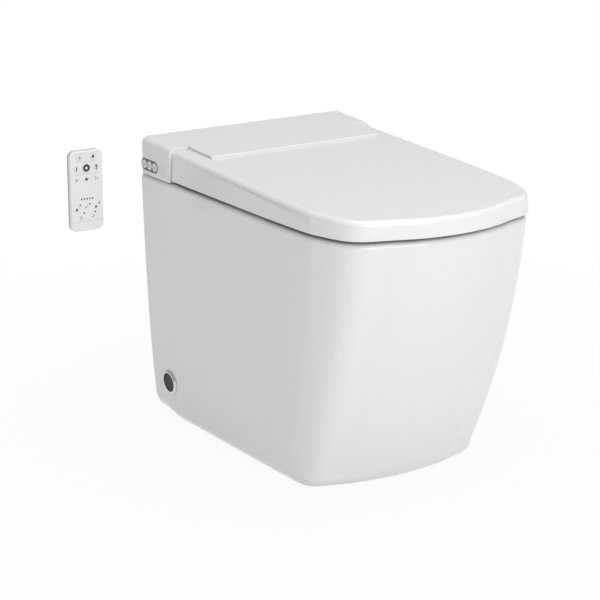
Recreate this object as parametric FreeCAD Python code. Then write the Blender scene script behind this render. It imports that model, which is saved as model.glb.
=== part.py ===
import FreeCAD, Part
import math
import os
from FreeCAD import Vector

# A smart toilet with a heated seat: a skirted back-to-wall pan, the bidet unit on its rear deck,
# the seat and lid hinged on that unit, and the handset that hangs beside it on the wall.
# Millimetres.  +X is the right of a viewer who faces the toilet, +Y runs to the wall, +Z is up.
# The origin is where the wall meets the floor on the toilet's centre line.

# ---- whole toilet ----
UNIT_WIDTH = 380.0          # rear cover from side to side
LID_REACH = 600.0           # wall to the front of the closed lid
PAN_HEIGHT = 408.0          # floor to the top of the ceramic
RUN_CLEAR = 0.05            # radial clearance of a shaft that turns in its hole
SLIDE_CLEAR = 0.3           # clearance round a piece that slides in a guide
FIT_CLEAR = 0.1             # clearance between fixed pieces that fit inside each other

# ---- ceramic pan ----
PAN_SIDE_INSET = 2.9        # top of the pan inside the rear cover's side
PAN_FRONT_INSET = 4.0       # top of the pan inside the lid's front
PAN_SIDE_TAPER = 23.8       # how far each side draws in from top to floor
PAN_FRONT_TAPER = 134.0     # how far the front draws in from top to floor
PAN_CORNER_TOP = 96.0       # plan radius of the front corners at the top
PAN_CORNER_FOOT = 58.0      # the same at the floor
PAN_BOW_TOP = 14.0          # bulge of the front edge at the top
PAN_BOW_FOOT = 19.0         # the same at the floor
PAN_FOOT_ROUND = 43.0       # roll of the skirt into the floor
PAN_TOP_ROUND = 7.0         # roll of the skirt into the rim
PAN_WALL = 12.0             # ceramic thickness of the skirt and the bowl
PAN_DECK = 14.0             # ceramic thickness of the top
PAN_FOOT_WIDTH = 18.0       # flat ring that stands on the floor
PAN_REAR_BAR = 30.0         # depth of the foot's cross bar at the wall

BOWL_HALF_WIDTH = 128.0
BOWL_FRONT_RIM = 48.0       # rim between the pan's front and the bowl
BOWL_REAR_RIM = 28.5        # rim between the unit and the bowl
SUMP_LEVEL = 172.0
SUMP_RADIUS = 30.0
TRAP_BORE = 26.0            # radius of the waterway
TRAP_WALL = 10.0
TRAP_BEND = 40.0            # centre-line radius of its bends
OUTLET_HEIGHT = 185.0       # outlet centre above the floor
OUTLET_RADIUS = 51.0
OUTLET_WALL = 6.0
OUTLET_LENGTH = 62.0
OUTLET_RECESS = 70.0        # outlet's end before the wall
SUMP_TO_OUTLET = 208.0      # sump's centre to the outlet pipe's inner end
FLUSH_DROP = 73.0           # flush inlet centre below the rim
FLUSH_RADIUS = 27.5
FLUSH_BORE = 20.0
FLUSH_RECESS = 55.0         # adapter's end before the wall
FLUSH_SPIGOT = 40.0
FLUSH_PLUG = 22.0
WELL_HALF_WIDTH = 135.0     # opening in the rear deck for the unit's pipes
WELL_SETBACK = 29.5         # well's front edge behind the unit's front
WELL_REAR = -22.0

# ---- floor fixing behind the side caps ----
FIXING_Y = -52.5
FIXING_Z = 68.0
FIXING_RING_RADIUS = 20.5
FIXING_RING_PROUD = 3.5
FIXING_CAP_RADIUS = 16.0
FIXING_TUBE_WALL = 2.0
FIXING_TUBE_DEPTH = 16.0
SET_SCREW_RADIUS = 4.0
SET_SCREW_LENGTH = 48.0
BRACKET_THICK = 4.0
BRACKET_WIDTH = 48.0
BRACKET_FOOT = 40.0
BRACKET_SIDE = 98.0         # outer face of each bracket from the centre line
FLOOR_BOLT_SPACING = 156.0
FLOOR_BOLT_RADIUS = 4.25

# ---- rear unit ----
UNIT_GASKET = 2.5           # seal between deck and unit
UNIT_HEIGHT = 62.5          # rim of the pan to the unit's top at the wall
UNIT_SLOPE = 0.05           # fall of the unit's top towards the front
UNIT_SHOULDER = 94.0        # depth of the full-width part
TONGUE_SIDE_INSET = 35.2    # sides of the narrow part between the lid's ears
COVER_WALL = 3.0
COVER_ROUND = 12.0
COVER_EDGE = 2.5            # roll of the edges beside the lid
BASE_FLOOR = 3.5
BASE_RIM = 10.0
UNIT_BOLT_X = 82.0
UNIT_BOLT_SETBACK = 14.5    # fixing bolts behind the unit's front
UNIT_BOLT_RADIUS = 3.0
UNIT_BOLT_HOLE = 6.0

# ---- hinge ----
HINGE_SETBACK = 24.0        # hinge line in front of the full-width part
HINGE_RISE = 38.0           # hinge line above the rim of the pan
HINGE_PIN_RADIUS = 4.5
HINGE_PIN_INSET = 10.5      # pin's end inside the unit's side
TONGUE_ROLL = 49.5          # front of the tongue about the hinge line
LID_GAP = 1.7               # gap between tongue and lid or seat
DAMPER_RADIUS = 10.5
DAMPER_LENGTH = 34.0
BEARING_LENGTH = 32.5
BEARING_INSET = 4.3         # bearing block inside the tongue's side

# ---- lid ----
LID_LIFT = 6.0              # lower edge of lid and seat above the rim of the pan
LID_SIDE_INSET = 2.0        # lid inside the rear cover's side
LID_RISE = 57.4             # lid's top, carried on to the wall, above the rim of the pan
LID_SLOPE = 0.0403
LID_DRAFT = 0.066           # inward lean of the lid's skirt
LID_CORNER = 98.0
LID_BOW = 14.0
LID_ROUND = 9.0
LID_WALL = 3.0
LINER_THICK = 2.0
LINER_GAP = 0.15
LINER_MARGIN = 7.0
EAR_GAP = 3.5               # lid's ears in front of the full-width part
EAR_TOP_ROUND = 8.0
EAR_FOOT_ROUND = 5.5
LUG_THICK = 4.0
BOSS_RADIUS = 10.0
LID_LIP = 43.0              # lower edge of the lid's lip behind the seat, above the rim

# ---- seat ----
SEAT_SIDE_INSET = 9.5       # seat inside the lid's side
SEAT_FRONT_INSET = 10.0     # seat inside the lid's front
SEAT_CORNER = 90.0
SEAT_BOW = 13.0
SEAT_RISE = 48.3            # seat's top, carried on to the wall, above the rim of the pan
SEAT_SLOPE = 0.043
SEAT_ROUND = 8.0
SEAT_HOLE_ROUND = 11.0
SEAT_WALL = 3.5
SEAT_HOLE_HALF_WIDTH = 107.0
SEAT_FRONT_RING = 60.0      # seat in front of the hole
SEAT_REAR_RING = 75.0       # seat behind the hole
SEAT_REAR_GAP = 3.5         # seat in front of the unit
SEAT_FLOOR = 3.0
HEATER_THICK = 0.8
HEATER_MARGIN = 9.0
ARM_INSET = 10.5            # arm's outer face inside the lid's side
ARM_DROP = 10.0             # arm's underside below the hinge line
BUFFER_RADIUS = 8.0
BUFFER_CLEAR = 0.2
BUFFER_SIDE = 40.0          # rear buffers inside the seat's side
BUFFER_BACK = 79.0          # rear buffers in front of the seat's rear edge
BUFFER_CORNER = 62.0        # front buffers inside the seat's side
BUFFER_FRONT = 90.0         # front buffers behind the seat's front

# ---- washing nozzle ----
NOZZLE_ANGLE = 15.0         # below the horizontal
NOZZLE_RISE = 15.0          # its axis above the rim of the pan at the unit's front
NOZZLE_RADIUS = 5.5
NOZZLE_LENGTH = 122.0
NOZZLE_TIP = 11.0
NOZZLE_HIDDEN = 3.0         # tip's end behind the cover's front
POCKET_CLEAR = 3.5          # room beside the nozzle in the pocket under the seat
POCKET_LENGTH = 68.0        # how far that pocket runs forward from the unit
POCKET_HEIGHT = 18.0        # its roof above the seat's lower edge
POCKET_WALL = 2.5
GUIDE_HALF_WIDTH = 9.0
GUIDE_WALL = 1.0
GUIDE_TOP = 8.0
GUIDE_LENGTH = 122.0
RACK_WIDTH = 4.0
GEAR_TEETH = 12
GEAR_MODULE = 1.0
GEAR_OFFSET = 24.0          # gear's place behind the nozzle's exit
PITCH_LINE = 7.9            # rack pitch line above the nozzle axis
MOTOR_RADIUS = 10.0
MOTOR_LENGTH = 15.0
MOTOR_SHAFT = 1.5

# ---- works inside the unit ----
FAN_X = 54.0
FAN_SETBACK = 35.5          # fan's shaft behind the unit's front
FAN_RADIUS = 20.0
FAN_HEIGHT = 22.0
FAN_BLADES = 16
SCROLL_WALL = 2.0
FAN_SHAFT = 2.0
INLET_X = -110.0
INLET_Y = -60.0
INLET_RADIUS = 10.2
INLET_LENGTH = 28.5         # threaded length below the tray
INLET_COLLAR = 12.0
VALVE_RADIUS = 13.0
GLAND_X = 112.0
GLAND_RADIUS = 8.0
CABLE_RADIUS = 3.6
HEATER_X = -57.0
HEATER_WIDTH = 54.0
WORKS_REAR = -20.0          # rear of heater, power module and circuit board
HEATER_LENGTH = 68.0
HEATER_HEIGHT = 34.0
PORT_RADIUS = 3.5
PORT_HEIGHT = 14.0
PORT_REACH = 6.0
HOSE_WALL = 1.5
PUMP_X = -44.0
PUMP_SETBACK = 39.5         # pump behind the unit's front
PUMP_RADIUS = 14.0
PUMP_HEIGHT = 20.0
POWER_X = 62.0
POWER_WIDTH = 56.0
POWER_LENGTH = 68.0
POWER_HEIGHT = 32.0
FIN_PITCH = 8.0
FIN_THICK = 2.0
FIN_HEIGHT = 4.0
BOARD_INSET = 18.0          # circuit board inside the unit's side
BOARD_WIDTH = 46.0
BOARD_LENGTH = 66.0
BOARD_THICK = 1.6
BOARD_LIFT = 8.0            # board above the tray
POST_RADIUS = 3.0

# ---- side controls ----
PANEL_LENGTH = 51.6
PANEL_HEIGHT = 19.0
PANEL_Y = -32.4
PANEL_RISE = 18.5           # its centre above the rim of the pan
PANEL_THICK = 2.4
PANEL_PROUD = 0.3
BUTTON_RADIUS = 6.9
BUTTON_PITCH = 16.4
BUTTON_THICK = 3.0
BUTTON_TRAVEL = 1.0
BUTTON_STEM = 2.3
SENSOR_Y = -71.6
SENSOR_RADIUS = 10.2

# ---- handset and its wall holder ----
REMOTE_X = -297.0
REMOTE_Z = 398.0
REMOTE_WIDTH = 57.0
REMOTE_HEIGHT = 128.0
REMOTE_THICK = 14.0
REMOTE_FRONT = 22.0         # wall to the handset's face
REMOTE_CORNER = 10.0
REMOTE_WALL = 1.6
REMOTE_EDGE = 1.2           # bevel round its front
REMOTE_BACK_EDGE = 5.0      # bevel round its back
HOLDER_WIDTH = 40.0
HOLDER_HEIGHT = 84.0
HOLDER_PLATE = 3.0
HOLDER_LIFT = 14.0          # lift that frees the handset from its hooks
HOLDER_SCREW_SPACING = 60.0
HOLDER_SCREW_RADIUS = 2.1
HOOK_NECK = 3.0             # half width of the hook's neck
HOOK_HEAD = 6.0             # half width of its head
HOOK_THICK = 1.6
HOOK_HEIGHT = 9.0
HOOK_RISE = 17.5            # hook's lower edge above the handset's middle
KEY_TRAVEL = 0.8
KEY_PROUD = 0.7
CELL_RADIUS = 5.2
CELL_LENGTH = 44.0
HATCH_TOP = 10.0            # hatch's top edge below the handset's middle
HATCH_WIDTH = 30.0
HATCH_THICK = 1.4
# Each key: its name, its place right of and above the handset's middle, and its radius.
KEYS = [("key_flush_full", -11.0, 54.5, 5.0), ("key_flush_half", 12.0, 54.5, 5.0),
        ("key_stop", 0.0, 36.5, 7.0), ("key_left", -17.3, 36.5, 4.2), ("key_right", 17.3, 36.5, 4.2)]

# ---- worked out from the sizes above ----
UNIT_BOTTOM = PAN_HEIGHT + UNIT_GASKET
UNIT_TOP_AT_WALL = PAN_HEIGHT + UNIT_HEIGHT
UNIT_HALF = UNIT_WIDTH / 2
TONGUE_HALF_WIDTH = UNIT_HALF - TONGUE_SIDE_INSET
HINGE_Y = -UNIT_SHOULDER - HINGE_SETBACK
HINGE_Z = PAN_HEIGHT + HINGE_RISE
TONGUE_REACH = TONGUE_ROLL - HINGE_Y
HINGE_PIN_END = UNIT_HALF - HINGE_PIN_INSET
BEARING_OUTER = TONGUE_HALF_WIDTH - BEARING_INSET
DAMPER_OUTER = BEARING_OUTER - BEARING_LENGTH
DAMPER_INNER = DAMPER_OUTER - DAMPER_LENGTH
LID_BOTTOM = PAN_HEIGHT + LID_LIFT
LID_TOP_AT_WALL = PAN_HEIGHT + LID_RISE
EAR_REAR = -UNIT_SHOULDER - EAR_GAP
PAN_HALF = UNIT_HALF - PAN_SIDE_INSET
PAN_REACH = LID_REACH - PAN_FRONT_INSET
LID_HALF = UNIT_HALF - LID_SIDE_INSET
SEAT_BOTTOM = PAN_HEIGHT + LID_LIFT
SEAT_HALF_WIDTH = LID_HALF - SEAT_SIDE_INSET
SEAT_REACH = LID_REACH - SEAT_FRONT_INSET
SEAT_TOP_AT_WALL = PAN_HEIGHT + SEAT_RISE
SEAT_REAR = -TONGUE_REACH - SEAT_REAR_GAP
SEAT_HOLE_HALF_LENGTH = (SEAT_REACH - SEAT_FRONT_RING + SEAT_REAR - SEAT_REAR_RING) / 2
SEAT_HOLE_CENTRE = SEAT_REAR - SEAT_REAR_RING - SEAT_HOLE_HALF_LENGTH
ARM_OUTER = LID_HALF - ARM_INSET
BOWL_HALF_LENGTH = (PAN_REACH - BOWL_FRONT_RIM - TONGUE_REACH - BOWL_REAR_RIM) / 2
BOWL_CENTRE = -TONGUE_REACH - BOWL_REAR_RIM - BOWL_HALF_LENGTH
SUMP_CENTRE = -OUTLET_RECESS - OUTLET_LENGTH - SUMP_TO_OUTLET
FLUSH_HEIGHT = PAN_HEIGHT - FLUSH_DROP
NOZZLE_EXIT_Z = PAN_HEIGHT + NOZZLE_RISE
PANEL_Z = PAN_HEIGHT + PANEL_RISE
UNIT_BOLT_Y = UNIT_BOLT_SETBACK - TONGUE_REACH
FAN_Y = FAN_SETBACK - TONGUE_REACH
PUMP_Y = PUMP_SETBACK - TONGUE_REACH
BASE_TOP = UNIT_BOTTOM + BASE_FLOOR
HOOK_Z = REMOTE_Z + HOOK_RISE
FAR = 400.0                 # longer than any piece that is cut


def box(x0, x1, y0, y1, z0, z1):
    return Part.makeBox(x1 - x0, y1 - y0, z1 - z0, Vector(x0, y0, z0))


def rod(radius, start, end):
    """Cylinder between two points on its axis."""
    along = end - start
    return Part.makeCylinder(radius, along.Length, start, along)


def tube(outer, inner, start, end):
    return rod(outer, start, end).cut(rod(inner, start, end))


def prism(points, along):
    """Flat outline through the points, extruded."""
    return Part.Face(Part.makePolygon(points + points[:1])).extrude(along)


def join(first, *others):
    return first.fuse(list(others)).removeSplitter()


def mirrored(shape):
    return shape.mirror(Vector(0, 0, 0), Vector(1, 0, 0))


def pair(shape):
    return Part.makeCompound([shape, mirrored(shape)])


def rounded(shape, radius, wanted):
    """Fillet every edge that the test accepts."""
    return shape.makeFillet(radius, [e for e in shape.Edges if wanted(e)])


def spans(edge, axis):
    """How far the edge reaches along one axis, 0 for X, 1 for Y and 2 for Z."""
    bounds = edge.BoundBox
    return (bounds.XLength, bounds.YLength, bounds.ZLength)[axis]


def above(height_at_wall, slope):
    """Everything over a plane that falls towards the front."""
    def level(y):
        return height_at_wall + slope * y
    outline = [(50, level(50)), (-2 * FAR, level(-2 * FAR)), (-2 * FAR, 2 * FAR), (50, 2 * FAR)]
    return prism([Vector(-FAR, y, z) for y, z in outline], Vector(2 * FAR, 0, 0))


def plan_outline(half_width, reach, corner, bow, z, rear=0.0):
    """Plan of pan, seat or lid: straight sides, round front corners and a bowed front."""
    side = half_width - corner
    bow_radius = (side ** 2 + bow ** 2) / (2 * bow)
    bow_centre = bow_radius - reach
    corner_y = bow_centre - math.sqrt((bow_radius - corner) ** 2 - side ** 2)
    lean = math.atan2(side, bow_centre - corner_y)
    touch_x = bow_radius * math.sin(lean)
    touch_y = bow_centre - bow_radius * math.cos(lean)
    turn = (math.pi / 2 + lean) / 2
    mid_x = side + corner * math.sin(turn)
    mid_y = corner_y - corner * math.cos(turn)
    left, right = Vector(-half_width, rear, z), Vector(half_width, rear, z)
    left_end, right_end = Vector(-half_width, corner_y, z), Vector(half_width, corner_y, z)
    left_touch, right_touch = Vector(-touch_x, touch_y, z), Vector(touch_x, touch_y, z)
    return Part.Wire([
        Part.LineSegment(left, left_end).toShape(),
        Part.Arc(left_end, Vector(-mid_x, mid_y, z), left_touch).toShape(),
        Part.Arc(left_touch, Vector(0, -reach, z), right_touch).toShape(),
        Part.Arc(right_touch, Vector(mid_x, mid_y, z), right_end).toShape(),
        Part.LineSegment(right_end, right).toShape(),
        Part.LineSegment(right, left).toShape(),
    ])


def oval(half_width, half_length, centre, z):
    end = Vector(0, centre + half_length, z)
    side = Vector(half_width, centre, z)
    return Part.Wire([Part.Ellipse(end, side, Vector(0, centre, z)).toShape()])


# ---------------------------------------------------------------- ceramic pan

def pan_half_width(z):
    """Half the pan's width at a height: straight near the rim, drawing in towards the floor."""
    fall = (PAN_HEIGHT - z) / PAN_HEIGHT
    return PAN_HALF - PAN_SIDE_TAPER * (0.47 * fall + 0.53 * fall ** 3)


def pan_section(z, inset, rear=0.0):
    fall = (PAN_HEIGHT - z) / PAN_HEIGHT
    reach = PAN_REACH - PAN_FRONT_TAPER * (0.42 * fall + 0.58 * fall ** 2)
    corner = PAN_CORNER_TOP + (PAN_CORNER_FOOT - PAN_CORNER_TOP) * fall
    bow = PAN_BOW_TOP + (PAN_BOW_FOOT - PAN_BOW_TOP) * fall
    corner = max(corner - inset, PAN_WALL)
    return plan_outline(pan_half_width(z) - inset, reach - inset, corner, bow, z, rear)


def pan_form():
    """Skirt form from floor to rim, its lower edge rolled in, cut flat at the wall."""
    levels = [PAN_HEIGHT * step / 4 for step in range(5)]
    form = Part.makeLoft([pan_section(z, 0, PAN_WALL) for z in levels], True)
    form = rounded(form, PAN_FOOT_ROUND, lambda e: (
        e.BoundBox.ZMax < 0.1 and e.BoundBox.YMin < PAN_WALL - 1))
    return form.cut(box(-FAR, FAR, 0, FAR, -1, PAN_HEIGHT + 1))


def pan_hollow():
    """Space inside the skirt, open to the wall, drawn in over the rolled foot."""
    top = PAN_HEIGHT - PAN_DECK
    levels = [(PAN_WALL, PAN_FOOT_ROUND), (PAN_FOOT_ROUND, PAN_WALL), ((PAN_FOOT_ROUND + top) / 2, PAN_WALL),
              (top, PAN_WALL)]
    return Part.makeLoft([pan_section(z, inset, PAN_WALL) for z, inset in levels], True, True)


def bowl_form(extra, floor):
    """Bowl from above the rim down to the sump, thickened by extra."""
    depth = PAN_HEIGHT - SUMP_LEVEL
    shares = [(-0.01, 1.0), (0.2, 0.985), (0.45, 0.84), (0.7, 0.52), (0.88, 0.2), (1.0, 0.0)]
    if extra:
        shares = shares[::2] + shares[-1:]
    rings = []
    for share, open_share in shares:
        half_width = SUMP_RADIUS + (BOWL_HALF_WIDTH - SUMP_RADIUS) * open_share + extra
        half_length = SUMP_RADIUS + 4 + (BOWL_HALF_LENGTH - SUMP_RADIUS - 4) * open_share + extra
        centre = SUMP_CENTRE + (BOWL_CENTRE - SUMP_CENTRE) * open_share
        rings.append(oval(half_width, half_length, centre, PAN_HEIGHT - depth * share - floor * share))
    return Part.makeLoft(rings, True, extra > 0)


def trap_path():
    """Centre line of the waterway: down from the sump, up over the weir and out to the wall."""
    weir = OUTLET_HEIGHT + 47
    corners = [(SUMP_CENTRE, SUMP_LEVEL + 18), (SUMP_CENTRE + 57, SUMP_LEVEL - 114),
               (SUMP_CENTRE + 127, weir), (SUMP_CENTRE + 190, OUTLET_HEIGHT),
               (-OUTLET_RECESS - OUTLET_LENGTH + 4, OUTLET_HEIGHT)]
    points = [Vector(0, y, z) for y, z in corners]
    edges = []
    start = points[0]
    for before, corner, after in zip(points, points[1:], points[2:]):
        back = (before - corner).normalize()
        ahead = (after - corner).normalize()
        half = back.getAngle(ahead) / 2
        reach = TRAP_BEND / math.tan(half)
        bisector = (back + ahead).normalize()
        middle = corner + bisector * (TRAP_BEND / math.sin(half) - TRAP_BEND)
        edges.append(Part.LineSegment(start, corner + back * reach).toShape())
        edges.append(Part.Arc(corner + back * reach, middle, corner + ahead * reach).toShape())
        start = corner + ahead * reach
    edges.append(Part.LineSegment(start, points[-1]).toShape())
    return Part.Wire(edges)


def trap_tube(radius):
    path = trap_path()
    first = path.Edges[0]
    ring = Part.Wire([Part.Circle(first.Vertexes[0].Point, first.tangentAt(0), radius).toShape()])
    return path.makePipeShell([ring], True, True)


def fixing_axis():
    """Point on the pan's left side and the outward direction square to the ceramic there."""
    slope = (pan_half_width(FIXING_Z + 5) - pan_half_width(FIXING_Z - 5)) / 10
    outward = Vector(-1, 0, -slope).normalize()
    return Vector(-pan_half_width(FIXING_Z), FIXING_Y, FIXING_Z), outward


def fixing_hole():
    face, outward = fixing_axis()
    radius = FIXING_CAP_RADIUS + FIXING_TUBE_WALL + FIT_CLEAR
    hole = rod(radius, face - outward * 3 * PAN_WALL, face + outward * PAN_WALL)
    seat = rod(FIXING_RING_RADIUS + FIT_CLEAR, face - outward * 0.2, face + outward * PAN_WALL)
    return hole.fuse(seat)


def outlet_end():
    return Vector(0, -OUTLET_RECESS, OUTLET_HEIGHT)


def flush_channel(radius):
    start = Vector(0, -FLUSH_RECESS - FLUSH_SPIGOT, FLUSH_HEIGHT)
    return rod(radius, start, Vector(0, BOWL_CENTRE + BOWL_HALF_LENGTH * 0.9, FLUSH_HEIGHT))


def unit_bolt_points(z):
    return [Vector(sign * UNIT_BOLT_X, UNIT_BOLT_Y, z) for sign in (-1, 1)]


def ceramic_pan():
    deck_under = PAN_HEIGHT - PAN_DECK
    skirt = rounded(pan_form(), PAN_TOP_ROUND, lambda e: (
        e.BoundBox.ZMin > PAN_HEIGHT - 0.1 and e.BoundBox.YMin < -1))
    skirt = skirt.cut(pan_hollow())
    foot = pan_section(0, PAN_FOOT_ROUND + PAN_FOOT_WIDTH, -PAN_REAR_BAR)
    foot_hole = Part.Face(foot).extrude(Vector(0, 0, 2 * PAN_WALL))
    outlet = rod(OUTLET_RADIUS, outlet_end() - Vector(0, OUTLET_LENGTH, 0), outlet_end())
    outlet_bore = rod(OUTLET_RADIUS - OUTLET_WALL, outlet_end() - Vector(0, OUTLET_LENGTH - 10, 0),
                      outlet_end() + Vector(0, 1, 0))
    bowl = bowl_form(PAN_WALL, PAN_WALL).common(
        box(-FAR, FAR, -2 * FAR, 0, 0, PAN_HEIGHT - PAN_TOP_ROUND))
    body = skirt
    for piece in (bowl, trap_tube(TRAP_BORE + TRAP_WALL), outlet, flush_channel(FLUSH_PLUG + TRAP_WALL)):
        body = body.fuse(piece)
    well = box(-WELL_HALF_WIDTH, WELL_HALF_WIDTH, WELL_SETBACK - TONGUE_REACH, WELL_REAR,
               deck_under - 1, PAN_HEIGHT + 1)
    well = rounded(well, 12, lambda e: spans(e, 2) > 1)
    holes = [rod(UNIT_BOLT_HOLE, p, p - Vector(0, 0, PAN_DECK)) for p in unit_bolt_points(PAN_HEIGHT)]
    left = fixing_hole()
    for hollow in [bowl_form(0, 0), trap_tube(TRAP_BORE), outlet_bore, flush_channel(FLUSH_PLUG),
                   foot_hole, well, left, mirrored(left)] + holes:
        body = body.cut(hollow)
    return body


def flush_adapter():
    end = Vector(0, -FLUSH_RECESS, FLUSH_HEIGHT)
    shoulder = end - Vector(0, FLUSH_SPIGOT, 0)
    plug_end = shoulder - Vector(0, 20, 0)
    plug = rod(FLUSH_PLUG - FIT_CLEAR, plug_end, shoulder)
    return rod(FLUSH_RADIUS, shoulder, end).fuse(plug).cut(
        rod(FLUSH_BORE, plug_end - Vector(0, 1, 0), end + Vector(0, 1, 0))).removeSplitter()


def fixing_ring():
    """Bevelled trim ring whose tube lines the hole in the skirt."""
    face, outward = fixing_axis()
    outer = rod(FIXING_RING_RADIUS, face - outward * 0.2, face + outward * FIXING_RING_PROUD)
    rim = [e for e in outer.Edges if e.CenterOfMass.sub(face).dot(outward) > 1 and e.Closed
           and len(e.Vertexes) == 1]
    outer = outer.makeChamfer(FIXING_RING_PROUD * 0.7, rim)
    sleeve = rod(FIXING_CAP_RADIUS + FIXING_TUBE_WALL, face - outward * FIXING_TUBE_DEPTH, face)
    bore = rod(FIXING_CAP_RADIUS, face - outward * 2 * FIXING_TUBE_DEPTH, face + outward * 9)
    return outer.fuse(sleeve).cut(bore).removeSplitter()


def fixing_cap():
    """Push-in cap: a slightly domed disc on a short skirt."""
    face, outward = fixing_axis()
    radius = FIXING_CAP_RADIUS - FIT_CLEAR
    front = face + outward * (FIXING_RING_PROUD - 1.2)
    disc = rod(radius, front - outward * 2.5, front)
    skirt = tube(radius, radius - 2, face - outward * (FIXING_TUBE_DEPTH - 4), front - outward)
    return join(disc, skirt)


def set_screw():
    face, outward = fixing_axis()
    tip = face - outward * (FIXING_TUBE_DEPTH + SET_SCREW_LENGTH)
    head = face - outward * (FIXING_TUBE_DEPTH - 4 + FIT_CLEAR)
    shank = rod(SET_SCREW_RADIUS, tip, head - outward * 5)
    flange = rod(FIXING_CAP_RADIUS - SLIDE_CLEAR, head - outward * 5, head)
    socket = prism([head + Vector(0, 2.9 * math.cos(a), 2.9 * math.sin(a))
                    for a in (math.radians(60 * n) for n in range(6))], outward * -4)
    return join(shank, flange).cut(socket)


def floor_bracket():
    """Angle bracket on the floor with a boss that takes the set screw."""
    face, outward = fixing_axis()
    y0, y1 = FIXING_Y - BRACKET_WIDTH / 2, FIXING_Y + BRACKET_WIDTH / 2
    y1 = min(y1, -PAN_REAR_BAR - 1)
    foot = box(-BRACKET_SIDE, -BRACKET_SIDE + BRACKET_FOOT, y0, y1, 0, BRACKET_THICK)
    upright = box(-BRACKET_SIDE, -BRACKET_SIDE + BRACKET_THICK, y0, y1, 0, FIXING_Z + 22)
    upright = rounded(upright, 8, lambda e: spans(e, 0) > 1 and e.BoundBox.ZMin > FIXING_Z)
    gusset = prism([Vector(-BRACKET_SIDE, y0, 1), Vector(-BRACKET_SIDE + BRACKET_FOOT - 4, y0, 1),
                    Vector(-BRACKET_SIDE, y0, FIXING_Z - 14)], Vector(0, BRACKET_THICK, 0))
    tip = face - outward * (FIXING_TUBE_DEPTH + SET_SCREW_LENGTH)
    root = face + outward * ((BRACKET_THICK - 1 - BRACKET_SIDE - face.x) / outward.x)
    boss = rod(9, root, tip + outward * 26)
    hole = rod(SET_SCREW_RADIUS + FIT_CLEAR, tip - outward * 20, tip + outward * 60)
    bolt = rod(FLOOR_BOLT_RADIUS, Vector(-FLOOR_BOLT_SPACING / 2, FIXING_Y, -1),
               Vector(-FLOOR_BOLT_SPACING / 2, FIXING_Y, 2 * BRACKET_THICK))
    return join(foot, upright, gusset, boss).cut([hole, bolt])


# ---------------------------------------------------------------- rear unit

def hinge_rod(radius, x0, x1):
    return rod(radius, Vector(x0, HINGE_Y, HINGE_Z), Vector(x1, HINGE_Y, HINGE_Z))


def unit_form(inset, bottom, rounding=True):
    """Outer form of the rear unit moved in by inset: full width behind, a tongue in front."""
    half, tongue = UNIT_HALF - inset, TONGUE_HALF_WIDTH - inset
    top = UNIT_TOP_AT_WALL - inset
    form = box(-half, half, -TONGUE_REACH + inset, -inset, bottom, UNIT_TOP_AT_WALL + 1)
    form = form.cut(above(top, UNIT_SLOPE))
    roll = box(-half, half, -TONGUE_REACH, HINGE_Y, HINGE_Z, UNIT_TOP_AT_WALL + 1).cut(
        hinge_rod(TONGUE_ROLL - inset, -half, half))
    shoulder = box(tongue, half, -TONGUE_REACH, -UNIT_SHOULDER + inset, bottom, UNIT_TOP_AT_WALL + 1)
    form = form.cut([roll, shoulder, mirrored(shoulder)]).removeSplitter()
    roll_radius = max(COVER_ROUND - inset, 1.0)
    form = rounded(form, roll_radius, lambda e: (
        e.BoundBox.YMin > -UNIT_SHOULDER - 1 and spans(e, 2) > 30 and abs(e.BoundBox.XMin) > half - 1
        and e.BoundBox.YMin > -inset - 1))
    return rounded(form, roll_radius, lambda e: (
        e.BoundBox.ZMin > top - 6 and e.BoundBox.XMax ** 2 + e.BoundBox.XMin ** 2 > tongue ** 2
        and (abs(e.BoundBox.XMax) > half - 14 or e.BoundBox.YMin > -14)
        and e.BoundBox.YMin > -UNIT_SHOULDER + inset - 1 and spans(e, 1) + spans(e, 0) > 60
        ) or (e.BoundBox.ZMin > top - 6 and e.BoundBox.YMin > -14 - inset))


def panel_pill(inset, x0, x1):
    """Pill outline of the side panel between two depths along X."""
    radius = PANEL_HEIGHT / 2 - inset
    run = PANEL_LENGTH / 2 - PANEL_HEIGHT / 2
    ends = [rod(radius, Vector(x0, PANEL_Y + side * run, PANEL_Z), Vector(x1, PANEL_Y + side * run, PANEL_Z))
            for side in (-1, 1)]
    bar = box(x0, x1, PANEL_Y - run, PANEL_Y + run, PANEL_Z - radius, PANEL_Z + radius)
    return join(bar, *ends)


def button_points(x):
    return [Vector(x, PANEL_Y + n * BUTTON_PITCH, PANEL_Z) for n in (1, 0, -1)]


def rear_cover():
    cover = unit_form(0, UNIT_BOTTOM).cut(unit_form(COVER_WALL, UNIT_BOTTOM - 1))
    pins = hinge_rod(HINGE_PIN_RADIUS + SLIDE_CLEAR, -TONGUE_HALF_WIDTH - 1, TONGUE_HALF_WIDTH + 1)
    panel = panel_pill(-FIT_CLEAR, -UNIT_HALF - 1, -UNIT_HALF + COVER_WALL + 1)
    sensor = rod(SENSOR_RADIUS + FIT_CLEAR, Vector(-UNIT_HALF - 1, SENSOR_Y, PANEL_Z),
                 Vector(-UNIT_HALF + COVER_WALL + 1, SENSOR_Y, PANEL_Z))
    return cover.cut([pins, panel, sensor, nozzle_path(SLIDE_CLEAR, 20), dryer_slot()])


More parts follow.
